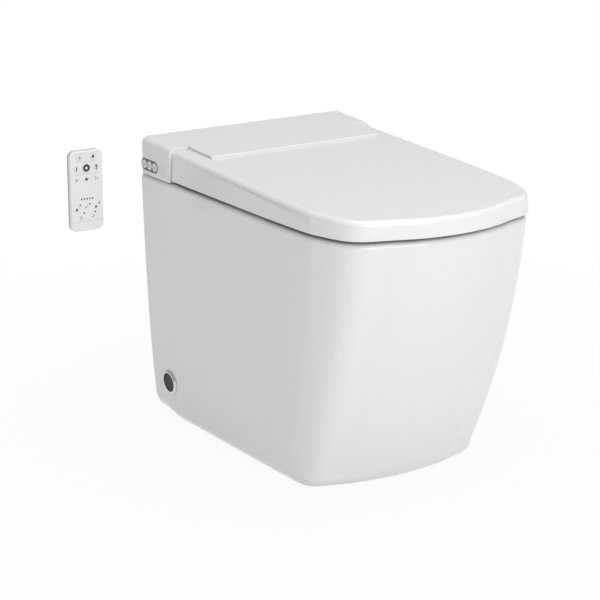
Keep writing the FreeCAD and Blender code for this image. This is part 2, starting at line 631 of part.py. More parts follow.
def unit_base():
    """Tray that sits on the deck: floor, low rim, hinge blocks and screw posts."""
    inset = COVER_WALL + FIT_CLEAR
    tray = unit_form(inset, UNIT_BOTTOM).common(
        box(-FAR, FAR, -FAR, 0, UNIT_BOTTOM, BASE_TOP + BASE_RIM))
    inner = unit_form(inset + 2, BASE_TOP).common(box(-FAR, FAR, -FAR, 0, BASE_TOP, UNIT_TOP_AT_WALL))
    block = box(DAMPER_OUTER + 3, BEARING_OUTER, HINGE_Y - 13, HINGE_Y + 13, BASE_TOP, HINGE_Z + 4)
    block = join(block, hinge_rod(13, DAMPER_OUTER + 3, BEARING_OUTER)).cut(
        hinge_rod(HINGE_PIN_RADIUS, 0, FAR))
    saddle = box(DAMPER_INNER + 4, DAMPER_OUTER - 4, HINGE_Y - 8, HINGE_Y + 8, BASE_TOP, HINGE_Z).cut(
        hinge_rod(DAMPER_RADIUS, 0, FAR))
    pipe_holes = [rod(radius + FIT_CLEAR, Vector(x, INLET_Y, UNIT_BOTTOM - 1), Vector(x, INLET_Y, BASE_TOP + 1))
                  for x, radius in ((INLET_X, INLET_COLLAR), (GLAND_X, GLAND_RADIUS))]
    bolts = [rod(UNIT_BOLT_RADIUS + SLIDE_CLEAR, p - Vector(0, 0, 9), p + Vector(0, 0, 9))
             for p in unit_bolt_points(UNIT_BOTTOM)]
    switch_room = box(-UNIT_HALF, -UNIT_HALF + 10, PANEL_Y - PANEL_LENGTH / 2 - 4,
                      PANEL_Y + PANEL_LENGTH / 2 + 4, BASE_TOP, BASE_TOP + BASE_RIM + 1)
    tray = tray.cut([inner, switch_room] + pipe_holes + bolts
                    + [nozzle_path(SLIDE_CLEAR, 20), dryer_slot()])
    tray = join(tray, block, mirrored(block), saddle, mirrored(saddle))
    return tray


def deck_gasket():
    """Flat seal ring between the deck and the tray."""
    ring = unit_form(6, PAN_HEIGHT).cut(unit_form(15, PAN_HEIGHT - 1))
    ring = ring.cut([rod(UNIT_BOLT_RADIUS + SLIDE_CLEAR, p, p + Vector(0, 0, 9))
                     for p in unit_bolt_points(PAN_HEIGHT - 1)])
    return ring.common(box(-FAR, FAR, -FAR, 0, PAN_HEIGHT, UNIT_BOTTOM))


def unit_bolts():
    bolts = []
    for p in unit_bolt_points(BASE_TOP):
        shank = rod(UNIT_BOLT_RADIUS, p - Vector(0, 0, 36), p)
        head = rod(UNIT_BOLT_RADIUS * 2, p, p + Vector(0, 0, 4))
        bolts.append(join(shank, head))
    return Part.makeCompound(bolts)


def unit_nuts():
    """Wing-free nuts with wide washers under the deck."""
    nuts = []
    for p in unit_bolt_points(PAN_HEIGHT - PAN_DECK):
        washer = rod(UNIT_BOLT_HOLE + 4, p - Vector(0, 0, 3), p)
        grip = prism([p + Vector(9 * math.cos(a), 9 * math.sin(a), -12)
                      for a in (math.radians(60 * n) for n in range(6))], Vector(0, 0, 9))
        nuts.append(join(washer, grip).cut(rod(UNIT_BOLT_RADIUS, p - Vector(0, 0, 20), p)))
    return Part.makeCompound(nuts)


def hinge_pins():
    pin = hinge_rod(HINGE_PIN_RADIUS - 0.02, DAMPER_OUTER, HINGE_PIN_END)
    return pair(pin.makeChamfer(0.8, [e for e in pin.Edges if e.BoundBox.XMin > HINGE_PIN_END - 1]))


def dampers():
    """Rotary dampers that let seat and lid fall slowly."""
    body = hinge_rod(DAMPER_RADIUS - FIT_CLEAR, DAMPER_INNER, DAMPER_OUTER - FIT_CLEAR)
    body = body.makeChamfer(1.0, [e for e in body.Edges if e.Closed and len(e.Vertexes) == 1])
    neck = hinge_rod(7, DAMPER_OUTER - FIT_CLEAR, DAMPER_OUTER + 3)
    return pair(join(body, neck).cut(hinge_rod(HINGE_PIN_RADIUS, DAMPER_OUTER - 12, FAR)))


def button_panel():
    outer = -UNIT_HALF - PANEL_PROUD
    panel = panel_pill(0, outer, outer + PANEL_THICK)
    holes = [rod(BUTTON_RADIUS + SLIDE_CLEAR, p - Vector(9, 0, 0), p + Vector(9, 0, 0))
             for p in button_points(outer)]
    return panel.cut(holes)


def side_button(point):
    """Round cap with a recessed centre and a stem that reaches the switch."""
    inward = Vector(1, 0, 0)
    cap = rod(BUTTON_RADIUS, point, point + inward * BUTTON_THICK)
    cap = cap.makeChamfer(0.5, [e for e in cap.Edges if e.BoundBox.XMax < point.x + 0.1])
    dish = rod(BUTTON_STEM, point - inward, point + inward * 0.5)
    flange = rod(BUTTON_RADIUS - 2, point + inward * BUTTON_THICK, point + inward * (BUTTON_THICK + 1.2))
    return join(cap, flange).cut(dish)


def button_board():
    x = -UNIT_HALF - PANEL_PROUD - 0.6 + BUTTON_THICK + 1.2 + BUTTON_TRAVEL + 2.3
    half = PANEL_LENGTH / 2 + 0.5
    board = box(x, x + 1.6, PANEL_Y - half, PANEL_Y + half, PANEL_Z - 10, PANEL_Z + 10)
    switches = [box(x - 2, x, p.y - 3, p.y + 3, p.z - 3, p.z + 3) for p in button_points(x)]
    post = box(x + 1.6, x + 5, PANEL_Y - 20, PANEL_Y + 20, BASE_TOP, PANEL_Z)
    return join(board, post, *switches)


def sensor_window():
    return rod(SENSOR_RADIUS, Vector(-UNIT_HALF + 0.05, SENSOR_Y, PANEL_Z),
               Vector(-UNIT_HALF + COVER_WALL, SENSOR_Y, PANEL_Z))


# ---------------------------------------------------------------- washing nozzle

def nozzle_placed(shape):
    """Move a shape built along -Y from the origin onto the sloping nozzle axis."""
    moved = shape.copy()
    moved.rotate(Vector(0, 0, 0), Vector(1, 0, 0), NOZZLE_ANGLE)
    moved.translate(Vector(0, -TONGUE_REACH, NOZZLE_EXIT_Z))
    return moved


def nozzle_path(clear, reach):
    """Room that the tube and its rack sweep in front of the exit, with clearance all round."""
    top = PITCH_LINE + 0.7 * GEAR_MODULE + clear
    side = RACK_WIDTH / 2 + clear
    round_part = rod(NOZZLE_RADIUS + clear, Vector(0, 20, 0), Vector(0, -reach, 0))
    return nozzle_placed(round_part.fuse(box(-side, side, -reach, 20, 0, top)))


def rack():
    """Toothed strip along the top of the nozzle tube."""
    pitch = math.pi * GEAR_MODULE
    root, tip = PITCH_LINE - 1.05 * GEAR_MODULE, PITCH_LINE + 0.7 * GEAR_MODULE
    first = NOZZLE_HIDDEN + NOZZLE_TIP + 3
    count = int((NOZZLE_HIDDEN + NOZZLE_LENGTH - first) / pitch)
    start = GEAR_OFFSET - pitch * int((GEAR_OFFSET - first) / pitch)
    points = [Vector(-RACK_WIDTH / 2, start - pitch / 2, NOZZLE_RADIUS - 1.5)]
    for n in range(count):
        middle = start + n * pitch
        points += [Vector(-RACK_WIDTH / 2, middle + side, z) for side, z in
                   ((-1.07, root), (-0.43, tip), (0.43, tip), (1.07, root))]
    points.append(Vector(-RACK_WIDTH / 2, start + (count - 0.5) * pitch, NOZZLE_RADIUS - 1.5))
    return prism(points, Vector(RACK_WIDTH, 0, 0))


def nozzle_tube():
    front = NOZZLE_HIDDEN + NOZZLE_TIP
    body = rod(NOZZLE_RADIUS, Vector(0, NOZZLE_HIDDEN + NOZZLE_LENGTH, 0), Vector(0, front, 0))
    bore = rod(2.2, Vector(0, NOZZLE_HIDDEN + NOZZLE_LENGTH + 1, 0), Vector(0, front - 1, 0))
    return nozzle_placed(join(body, rack()).cut(bore))


def nozzle_tip():
    """Rounded head with its spray holes on top."""
    back = NOZZLE_HIDDEN + NOZZLE_TIP
    head = rod(NOZZLE_RADIUS, Vector(0, back, 0), Vector(0, NOZZLE_HIDDEN, 0))
    head = head.makeChamfer(2.0, [e for e in head.Edges if e.BoundBox.YMax < NOZZLE_HIDDEN + 0.1])
    sprays = [rod(0.7, Vector(0, back - step, 1), Vector(0, back - step, 9)) for step in (3, 5.5)]
    return nozzle_placed(head.cut(sprays))


def gear_centre():
    return Vector(0, GEAR_OFFSET, PITCH_LINE + GEAR_TEETH * GEAR_MODULE / 2)


def drive_gear():
    """Spur gear that meshes with the rack, one tooth space pointing down at it."""
    pitch_radius = GEAR_TEETH * GEAR_MODULE / 2
    flank = [(pitch_radius - GEAR_MODULE, 0.129), (pitch_radius - 0.36, 0.129),
             (pitch_radius, 0.112), (pitch_radius + 0.72 * GEAR_MODULE, 0.052)]
    centre = gear_centre()
    points = []
    for tooth in range(GEAR_TEETH):
        middle = -math.pi / 2 + (tooth + 0.5) * 2 * math.pi / GEAR_TEETH
        for radius, half in flank:
            points.append(centre + Vector(0, radius * math.cos(middle - half), radius * math.sin(middle - half)))
        for radius, half in reversed(flank):
            points.append(centre + Vector(0, radius * math.cos(middle + half), radius * math.sin(middle + half)))
    width = Vector(RACK_WIDTH - 0.4, 0, 0)
    wheel = prism([p - width / 2 for p in points], width)
    return nozzle_placed(wheel.cut(rod(MOTOR_SHAFT + RUN_CLEAR, centre - width, centre + width)))


def nozzle_guide():
    """Slotted channel on a sloping rib that carries tube, gear and motor."""
    low = NOZZLE_RADIUS + SLIDE_CLEAR + GUIDE_WALL
    length = Vector(0, GUIDE_LENGTH, 0)
    front = COVER_WALL + 2 + FIT_CLEAR + 2
    channel = box(-GUIDE_HALF_WIDTH, GUIDE_HALF_WIDTH, front, GUIDE_LENGTH + front, -low, GUIDE_TOP)
    bore = rod(NOZZLE_RADIUS + SLIDE_CLEAR, Vector(0, 0, 0), length * 2)
    slot = box(-RACK_WIDTH / 2 - SLIDE_CLEAR, RACK_WIDTH / 2 + SLIDE_CLEAR, 0, 2 * GUIDE_LENGTH, 0, 20)
    centre = gear_centre()
    ear = box(5, GUIDE_HALF_WIDTH, centre.y - 11, centre.y + 11, GUIDE_TOP - 1, centre.z + 8)
    ear = rounded(ear, 6, lambda e: spans(e, 0) > 1 and e.BoundBox.ZMin > centre.z)
    shaft_hole = rod(MOTOR_SHAFT + 1, centre, centre + Vector(20, 0, 0))
    clear = rod(GEAR_TEETH * GEAR_MODULE / 2 + 1.5, centre - Vector(3, 0, 0), centre + Vector(3, 0, 0))
    moving = nozzle_placed(join(channel, ear).cut([bore, slot, shaft_hole, clear]))
    level = Vector(-GUIDE_HALF_WIDTH, PUMP_Y, BASE_TOP + PORT_HEIGHT)
    port = rod(PORT_RADIUS, level - Vector(PORT_REACH, 0, 0), level + Vector(2, 0, 0))
    slope = math.tan(math.radians(NOZZLE_ANGLE))
    drop = low / math.cos(math.radians(NOZZLE_ANGLE))

    def underside(y):
        return NOZZLE_EXIT_Z + slope * (y + TONGUE_REACH) - drop
    y0, y1 = -TONGUE_REACH + 30, -TONGUE_REACH + GUIDE_LENGTH - 20
    rib = prism([Vector(-3, y0, BASE_TOP), Vector(-3, y1, BASE_TOP), Vector(-3, y1, underside(y1) + 0.5),
                 Vector(-3, y0, underside(y0) + 0.5)], Vector(6, 0, 0))
    return join(moving, rib, port)


def nozzle_motor():
    centre = gear_centre()
    body = rod(MOTOR_RADIUS, centre + Vector(GUIDE_HALF_WIDTH, 0, 0),
               centre + Vector(GUIDE_HALF_WIDTH + MOTOR_LENGTH, 0, 0))
    shaft = rod(MOTOR_SHAFT, centre - Vector(RACK_WIDTH / 2 + 0.5, 0, 0),
                centre + Vector(GUIDE_HALF_WIDTH, 0, 0))
    return nozzle_placed(join(body, shaft))


# ---------------------------------------------------------------- works inside the unit

def dryer_slot():
    """Air outlet through the tongue's front under the seat."""
    return box(FAN_X - 24, FAN_X + 4, -TONGUE_REACH - 1, -TONGUE_REACH + 7, BASE_TOP + 1, BASE_TOP + 8)


def dryer_housing():
    """Scroll housing whose mouth blows through the slot in the tongue."""
    z0, z1 = BASE_TOP, BASE_TOP + FAN_HEIGHT + 2 * SCROLL_WALL + 1
    outer = FAN_RADIUS + 4 + SCROLL_WALL
    drum = rod(outer, Vector(FAN_X, FAN_Y, z0), Vector(FAN_X, FAN_Y, z1))
    mouth = box(FAN_X - outer, FAN_X + 4, -TONGUE_REACH + 5.5, FAN_Y, z0, BASE_TOP + 10)
    hollow = rod(outer - SCROLL_WALL, Vector(FAN_X, FAN_Y, z0 + SCROLL_WALL),
                 Vector(FAN_X, FAN_Y, z1 - SCROLL_WALL))
    duct = box(FAN_X - outer + SCROLL_WALL, FAN_X + 4 - SCROLL_WALL, -FAR, FAN_Y,
               z0 + 1, BASE_TOP + 8)
    eye = rod(FAN_RADIUS * 0.6, Vector(FAN_X, FAN_Y, z1 - 5), Vector(FAN_X, FAN_Y, z1 + 1))
    shaft = rod(FAN_SHAFT, Vector(FAN_X, FAN_Y, z0 + 1), Vector(FAN_X, FAN_Y, z0 + FAN_HEIGHT - 2))
    return drum.fuse(mouth).cut([hollow, duct, eye]).fuse(shaft).removeSplitter()


def dryer_fan():
    """Squirrel-cage wheel: a hub disc, a top ring and straight blades."""
    z0 = BASE_TOP + SCROLL_WALL + 0.5
    base = Vector(FAN_X, FAN_Y, z0)
    up = Vector(0, 0, 1)
    disc = rod(FAN_RADIUS, base, base + up * 1.5)
    hub = rod(6, base, base + up * 12)
    ring = tube(FAN_RADIUS, FAN_RADIUS - 3, base + up * (FAN_HEIGHT - 2), base + up * FAN_HEIGHT)
    blade = box(FAN_X + FAN_RADIUS - 3.5, FAN_X + FAN_RADIUS - 0.2, FAN_Y - 0.5, FAN_Y + 0.5,
                z0 + 1, z0 + FAN_HEIGHT - 1)
    blades = []
    for n in range(FAN_BLADES):
        copy = blade.copy()
        copy.rotate(Vector(FAN_X + FAN_RADIUS - 2, FAN_Y, 0), up, 30)
        copy.rotate(base, up, n * 360 / FAN_BLADES)
        blades.append(copy)
    wheel = disc.fuse([hub, ring] + blades)
    return wheel.cut(rod(FAN_SHAFT + RUN_CLEAR, base - up, base + up * FAN_HEIGHT)).removeSplitter()


def heater_side():
    return HEATER_X - HEATER_WIDTH / 2


def heater_front():
    return WORKS_REAR - HEATER_LENGTH


def pump_inlet_x():
    return PUMP_X - PUMP_RADIUS / 2


def water_heater():
    """Flow heater: ribbed case with one port to the valve and one to the pump."""
    side, front = heater_side(), heater_front()
    top = BASE_TOP + HEATER_HEIGHT
    body = box(side, side + HEATER_WIDTH, front, WORKS_REAR, BASE_TOP, top)
    body = rounded(body, 6, lambda e: spans(e, 2) > 1)
    z = BASE_TOP + PORT_HEIGHT
    inlet = rod(PORT_RADIUS, Vector(side - PORT_REACH, INLET_Y, z), Vector(side + 1, INLET_Y, z))
    outlet = rod(PORT_RADIUS, Vector(pump_inlet_x(), front - PORT_REACH, z),
                 Vector(pump_inlet_x(), front + 1, z))
    ribs = [box(side + 4, side + HEATER_WIDTH - 4, front + 8 + step, front + 10 + step, top - 1, top + 1.5)
            for step in range(0, int(HEATER_LENGTH) - 16, 10)]
    return join(body, inlet, outlet, *ribs)


def water_inlet_valve():
    """Threaded inlet below, valve body and its coil."""
    foot = Vector(INLET_X, INLET_Y, BASE_TOP)
    up = Vector(0, 0, 1)
    collar = rod(INLET_COLLAR, foot - up * BASE_FLOOR, foot)
    stem = rod(INLET_RADIUS, foot - up * (BASE_FLOOR + INLET_LENGTH), foot - up * BASE_FLOOR)
    body = rod(VALVE_RADIUS, foot, foot + up * 22)
    coil = rod(11, foot + up * 12 + Vector(0, 12, 0), foot + up * 12 + Vector(0, 38, 0))
    level = foot + up * PORT_HEIGHT
    port = rod(PORT_RADIUS, level, level + Vector(VALVE_RADIUS + PORT_REACH - 2, 0, 0))
    bore = rod(INLET_RADIUS - 3, foot - up * 2 * INLET_LENGTH, foot + up * 10)
    return join(stem, collar, body, coil, port).cut(bore)


def wash_pump():
    """Small pump on end: round body, motor on top, one port back and one to the nozzle."""
    centre = Vector(PUMP_X, PUMP_Y, BASE_TOP)
    up = Vector(0, 0, 1)
    body = rod(PUMP_RADIUS, centre, centre + up * PUMP_HEIGHT)
    motor = rod(PUMP_RADIUS - 3, centre + up * PUMP_HEIGHT, centre + up * (PUMP_HEIGHT + 16))
    low = centre + up * PORT_HEIGHT
    port_in = rod(PORT_RADIUS, Vector(pump_inlet_x(), PUMP_Y, low.z),
                  Vector(pump_inlet_x(), PUMP_Y + PUMP_RADIUS + PORT_REACH, low.z))
    port_out = rod(PORT_RADIUS, low, low + Vector(PUMP_RADIUS + PORT_REACH, 0, 0))
    return join(body, motor, port_in, port_out)


def hoses():
    """Short straight sleeves between valve, heater, pump and nozzle guide."""
    z = BASE_TOP + PORT_HEIGHT
    outer = PORT_RADIUS + HOSE_WALL
    runs = [(Vector(INLET_X + VALVE_RADIUS, INLET_Y, z), Vector(heater_side(), INLET_Y, z)),
            (Vector(pump_inlet_x(), PUMP_Y + PUMP_RADIUS, z), Vector(pump_inlet_x(), heater_front(), z)),
            (Vector(PUMP_X + PUMP_RADIUS, PUMP_Y, z), Vector(-GUIDE_HALF_WIDTH, PUMP_Y, z))]
    return Part.makeCompound([tube(outer, PORT_RADIUS, start, end) for start, end in runs])


def power_gland():
    """Cable entry through the tray with a bore for the mains cable."""
    foot = Vector(GLAND_X, INLET_Y, BASE_TOP)
    up = Vector(0, 0, 1)
    body = rod(GLAND_RADIUS, foot - up * 14, foot)
    flange = rod(GLAND_RADIUS + 3, foot, foot + up * 3)
    return join(body, flange).cut(rod(CABLE_RADIUS, foot - up * 20, foot + up * 9))


def power_module():
    """Die-cast case with cooling fins."""
    side, front = POWER_X - POWER_WIDTH / 2, WORKS_REAR - POWER_LENGTH
    top = BASE_TOP + POWER_HEIGHT
    case = box(side, side + POWER_WIDTH, front, WORKS_REAR, BASE_TOP, top)
    case = rounded(case, 3, lambda e: spans(e, 2) > 1)
    count = int((POWER_WIDTH - FIN_PITCH) / FIN_PITCH)
    first = POWER_X - FIN_PITCH * (count - 1) / 2 - FIN_THICK / 2
    fins = [box(first + n * FIN_PITCH, first + n * FIN_PITCH + FIN_THICK, front + 6, WORKS_REAR - 6,
                top - 1, top + FIN_HEIGHT) for n in range(count)]
    return join(case, *fins)


def control_board():
    """Circuit board on four posts with its larger components."""
    side, front = BOARD_INSET - UNIT_HALF, WORKS_REAR - BOARD_LENGTH
    z = BASE_TOP + BOARD_LIFT
    top = z + BOARD_THICK
    board = box(side, side + BOARD_WIDTH, front, WORKS_REAR, z, top)
    posts = [rod(POST_RADIUS, Vector(x, y, BASE_TOP), Vector(x, y, z))
             for x in (side + 2 * POST_RADIUS, side + BOARD_WIDTH - 2 * POST_RADIUS)
             for y in (front + 2 * POST_RADIUS, WORKS_REAR - 2 * POST_RADIUS)]
    relay = box(side + 4, side + 20, front + 14, front + 28, top, top + 13)
    cans = [rod(5, Vector(side + 36, y, top), Vector(side + 36, y, top + 16)) for y in (front + 18, front + 31)]
    plug = box(side + 6, side + 32, WORKS_REAR - 18, WORKS_REAR - 10, top, top + 7)
    return join(board, relay, plug, *(posts + cans))


# ---------------------------------------------------------------- seat

def seat_outline(inset, z):
    return plan_outline(SEAT_HALF_WIDTH - inset, SEAT_REACH - inset, SEAT_CORNER - inset, SEAT_BOW, z,
                        SEAT_REAR - inset)


def seat_form(inset, hole_inset, bottom, top_drop, rounding):
    """Seat ring between a level and its sloping top, with the hole cut out."""
    ring = Part.Face(seat_outline(inset, bottom)).extrude(Vector(0, 0, 80))
    hole = Part.Face(oval(SEAT_HOLE_HALF_WIDTH + hole_inset, SEAT_HOLE_HALF_LENGTH + hole_inset,
                          SEAT_HOLE_CENTRE, bottom - 1)).extrude(Vector(0, 0, 80))
    ring = ring.cut(above(SEAT_TOP_AT_WALL - top_drop, SEAT_SLOPE))
    if rounding:
        ring = rounded(ring, SEAT_ROUND - inset, lambda e: (
            e.BoundBox.ZMin > bottom + 5 and e.BoundBox.YMin < -TONGUE_REACH - 20))
    ring = ring.cut(hole)
    if rounding:
        ring = rounded(ring, SEAT_HOLE_ROUND - hole_inset, lambda e: (
            e.BoundBox.ZMin > bottom + 3 and e.BoundBox.XMax < SEAT_HOLE_HALF_WIDTH + hole_inset + 1
            and e.BoundBox.XMin > -SEAT_HOLE_HALF_WIDTH - hole_inset - 1 and spans(e, 0) > 150))
    return ring


def seat_arm():
    """Arm from the seat's rear edge to its bore on the hinge pin."""
    x0 = TONGUE_HALF_WIDTH + LID_GAP + LUG_THICK + 0.5
    top = SEAT_TOP_AT_WALL + SEAT_SLOPE * (-TONGUE_REACH)
    arm = box(x0, ARM_OUTER - 1.5, -TONGUE_REACH - LID_GAP - 6, HINGE_Y, HINGE_Z - ARM_DROP, top)
    return join(arm, hinge_rod(BOSS_RADIUS, x0, ARM_OUTER - 1.5))


def nozzle_pocket(extra):
    """Level pocket under the seat's rear in which the nozzle runs out."""
    side = NOZZLE_RADIUS + POCKET_CLEAR + extra
    return box(-side, side, -TONGUE_REACH - POCKET_LENGTH - extra, -TONGUE_REACH,
               SEAT_BOTTOM - 1, SEAT_BOTTOM + POCKET_HEIGHT + extra)


def seat_top():
    shell = seat_form(0, 0, SEAT_BOTTOM, 0, True).cut(
        seat_form(SEAT_WALL, SEAT_HOLE_ROUND, SEAT_BOTTOM - 1, SEAT_WALL, False))
    arm = seat_arm()
    bore = hinge_rod(HINGE_PIN_RADIUS + RUN_CLEAR, -FAR, FAR)
    return join(shell, arm, mirrored(arm)).cut([bore, nozzle_pocket(POCKET_WALL + FIT_CLEAR)])


def seat_base():
    """Plate that closes the seat from below, arched over the nozzle."""
    inset = SEAT_WALL + FIT_CLEAR
    plate = seat_form(inset, SEAT_HOLE_ROUND + FIT_CLEAR, SEAT_BOTTOM, SEAT_WALL, False).common(
        box(-FAR, FAR, -2 * FAR, 0, SEAT_BOTTOM, SEAT_BOTTOM + SEAT_FLOOR))
    inside = seat_form(inset, inset, SEAT_BOTTOM, SEAT_WALL + FIT_CLEAR, False)
    arch = nozzle_pocket(POCKET_WALL).common(inside)
    return join(plate, arch).cut(nozzle_pocket(0))


def seat_heater():
    inset, hole_inset = SEAT_WALL + HEATER_MARGIN, SEAT_HOLE_ROUND + HEATER_MARGIN
    film = seat_form(inset, hole_inset, SEAT_BOTTOM, SEAT_WALL + FIT_CLEAR, False)
    return film.cut(seat_form(inset - 1, hole_inset - 1, SEAT_BOTTOM - 1,
                              SEAT_WALL + FIT_CLEAR + HEATER_THICK, False))


def buffer_spots():
    """Places of the buffers on the right, rear one first."""
    return [(SEAT_HALF_WIDTH - BUFFER_SIDE, SEAT_REAR - BUFFER_BACK),
            (SEAT_HALF_WIDTH - BUFFER_CORNER, BUFFER_FRONT - SEAT_REACH)]


def seat_buffers():
    buffers = [rod(BUFFER_RADIUS, Vector(x, y, PAN_HEIGHT + BUFFER_CLEAR), Vector(x, y, SEAT_BOTTOM))
               for x, y in buffer_spots()]
    buffers = [b.makeChamfer(1.2, [e for e in b.Edges if e.BoundBox.ZMax < PAN_HEIGHT + 1])
               for b in buffers]
    return Part.makeCompound(buffers + [mirrored(b) for b in buffers])


# ---------------------------------------------------------------- lid

def lid_form(inset, bottom, drop):
    """Outer form of the lid, its skirt moved in and its sloping top lowered."""
    height = 90.0
    lean = LID_DRAFT * height
    low = plan_outline(LID_HALF - inset, LID_REACH - inset, LID_CORNER - inset, LID_BOW, bottom, EAR_REAR)
    high = plan_outline(LID_HALF - inset - lean, LID_REACH - inset - lean, LID_CORNER - inset - lean,
                        LID_BOW, bottom + height, EAR_REAR)
    form = Part.makeLoft([low, high], True, True).cut(above(LID_TOP_AT_WALL - drop, LID_SLOPE))
    return rounded(form, max(LID_ROUND - inset, 1.0), lambda e: (
        e.BoundBox.ZMin > bottom + 8 and e.BoundBox.YMin < EAR_REAR - 1))


def behind_lid(gap, side, bottom):
    """Space of the tongue, kept clear of the lid by a gap in front and a half width at the sides."""
    wide = box(-side, side, HINGE_Y, 1, bottom, 2 * FAR)
    low = box(-side, side, -TONGUE_REACH - gap, HINGE_Y, bottom, HINGE_Z)
    return join(wide, low, hinge_rod(TONGUE_ROLL + gap, -side, side))


def ear_ends():
    """What is rounded off the rear ends of the lid's ears so that they clear the unit as they turn."""
    top = LID_TOP_AT_WALL + LID_SLOPE * EAR_REAR
    tall = box(-FAR, FAR, EAR_REAR - EAR_TOP_ROUND, 0, top - EAR_TOP_ROUND, top + 9)
    roll = rod(EAR_TOP_ROUND, Vector(-FAR, EAR_REAR - EAR_TOP_ROUND, top - EAR_TOP_ROUND),
               Vector(FAR, EAR_REAR - EAR_TOP_ROUND, top - EAR_TOP_ROUND))
    low = box(-FAR, FAR, EAR_REAR - EAR_FOOT_ROUND, 0, LID_BOTTOM - 1, LID_BOTTOM + EAR_FOOT_ROUND)
    foot = rod(EAR_FOOT_ROUND, Vector(-FAR, EAR_REAR - EAR_FOOT_ROUND, LID_BOTTOM + EAR_FOOT_ROUND),
               Vector(FAR, EAR_REAR - EAR_FOOT_ROUND, LID_BOTTOM + EAR_FOOT_ROUND))
    return tall.cut(roll).fuse(low.cut(foot))


def lid_shell():
    side = TONGUE_HALF_WIDTH + LID_GAP
    inner_side = side + LUG_THICK
    hollow = lid_form(LID_WALL, LID_BOTTOM - 1, LID_WALL).cut(
        [behind_lid(LID_GAP + LUG_THICK, inner_side, 0),
         box(-FAR, FAR, EAR_REAR - LID_WALL, 0, HINGE_Z - 16, 2 * FAR)])
    shell = lid_form(0, LID_BOTTOM, 0).cut([hollow, behind_lid(LID_GAP, side, 0), ear_ends()])
    seat_room = box(-inner_side, inner_side, -TONGUE_REACH - LID_GAP - LUG_THICK - 1,
                    HINGE_Y - BOSS_RADIUS, 0, PAN_HEIGHT + LID_LIP)
    ear_room = box(-inner_side, inner_side, HINGE_Y - BOSS_RADIUS - 1, 0, 0, HINGE_Z - BOSS_RADIUS)
    rear_room = box(inner_side - 1, LID_HALF - 2 * LID_WALL, EAR_REAR - LID_WALL - 1, 0,
                    0, HINGE_Z - 16)
    boss = hinge_rod(BOSS_RADIUS, side, inner_side)
    shell = shell.cut([seat_room, ear_room, rear_room, mirrored(rear_room)])
    shell = join(shell, boss, mirrored(boss))
    return shell.cut(hinge_rod(HINGE_PIN_RADIUS + RUN_CLEAR, -inner_side - 1, inner_side + 1))


def lid_liner():
    """Flat inner panel under the lid's top."""
    drop = LID_WALL + LINER_GAP
    panel = lid_form(LID_WALL + LINER_MARGIN, LID_BOTTOM, drop).cut(
        box(-FAR, FAR, -TONGUE_REACH - LINER_MARGIN - LUG_THICK, 0, 0, 2 * FAR))
    return panel.common(above(LID_TOP_AT_WALL - drop - LINER_THICK, LID_SLOPE))


def lid_buffers():
    under = LID_TOP_AT_WALL - LID_WALL - LINER_GAP - LINER_THICK
    over = SEAT_TOP_AT_WALL + BUFFER_CLEAR
    buffers = [rod(BUFFER_RADIUS - 1, Vector(x, y, LID_BOTTOM), Vector(x, y, LID_TOP_AT_WALL)).cut(
        above(under, LID_SLOPE)).common(above(over, SEAT_SLOPE))
        for x, y in buffer_spots()]
    return Part.makeCompound(buffers + [mirrored(b) for b in buffers])


# ---------------------------------------------------------------- handset

def remote_block(inset, y0, y1, edge=0.0):
    """Handset outline with round corners between two depths, bevelled at the back by edge."""
    half_w, half_h = REMOTE_WIDTH / 2 - inset, REMOTE_HEIGHT / 2 - inset
    block = box(REMOTE_X - half_w, REMOTE_X + half_w, y0, y1, REMOTE_Z - half_h, REMOTE_Z + half_h)
    block = rounded(block, REMOTE_CORNER - inset, lambda e: spans(e, 1) > 0.5)
    if not edge:
        return block
    return block.makeChamfer(edge, [e for e in block.Edges if e.BoundBox.YMin > y1 - 0.1])


def remote_back():
    return REMOTE_FRONT - REMOTE_THICK


def hatch_box(extra, y0, y1):
    """Room of the battery hatch, which runs to the handset's lower end."""
    half = HATCH_WIDTH / 2 + extra
    return box(REMOTE_X - half, REMOTE_X + half, y0, y1, REMOTE_Z - REMOTE_HEIGHT / 2 - 1,
               REMOTE_Z - HATCH_TOP + extra)


def remote_seam():
    return -remote_back() - REMOTE_THICK * 0.55


def remote_tray():
    """Solid rear half of the handset with its bevelled back."""
    return remote_block(0, remote_seam(), -remote_back(), REMOTE_BACK_EDGE)


def remote_back_shell():
    """Rear half of the handset: tray with a keyhole for the hook and an opening for the cells."""
    back = -remote_back()
    inner_edge = REMOTE_BACK_EDGE - (2 - math.sqrt(2)) * REMOTE_WALL
    tray = remote_tray().cut(remote_block(REMOTE_WALL, remote_seam() - 1, back - REMOTE_WALL, inner_edge))
    low = HOOK_Z - HOLDER_LIFT - 1
    neck, head = HOOK_NECK + 0.5, HOOK_HEAD + 0.7
    narrow = box(REMOTE_X - neck, REMOTE_X + neck, back - 3, back + 1, low, HOOK_Z + HOOK_HEIGHT + SLIDE_CLEAR)
    wide = box(REMOTE_X - head, REMOTE_X + head, back - 3, back + 1, low, low + HOOK_HEIGHT + 2)
    return tray.cut([narrow, wide, hatch_box(SLIDE_CLEAR, back - REMOTE_WALL - 1, back + 1)])


def remote_front_shell():
    seam = remote_seam()
    front = -REMOTE_FRONT
    shell = remote_block(0, front, seam)
    shell = shell.makeChamfer(REMOTE_EDGE, [e for e in shell.Edges if e.BoundBox.YMax < front + 0.1])
    shell = shell.cut(remote_block(REMOTE_WALL, front + REMOTE_WALL, seam + 1))
    return shell.cut([key_form(x, z, r + SLIDE_CLEAR, front - 1, front + REMOTE_WALL + 1)
                      for _, x, z, r in KEYS])


def key_form(x, z, radius, y0, y1):
    return rod(radius, Vector(REMOTE_X + x, y0, REMOTE_Z + z), Vector(REMOTE_X + x, y1, REMOTE_Z + z))


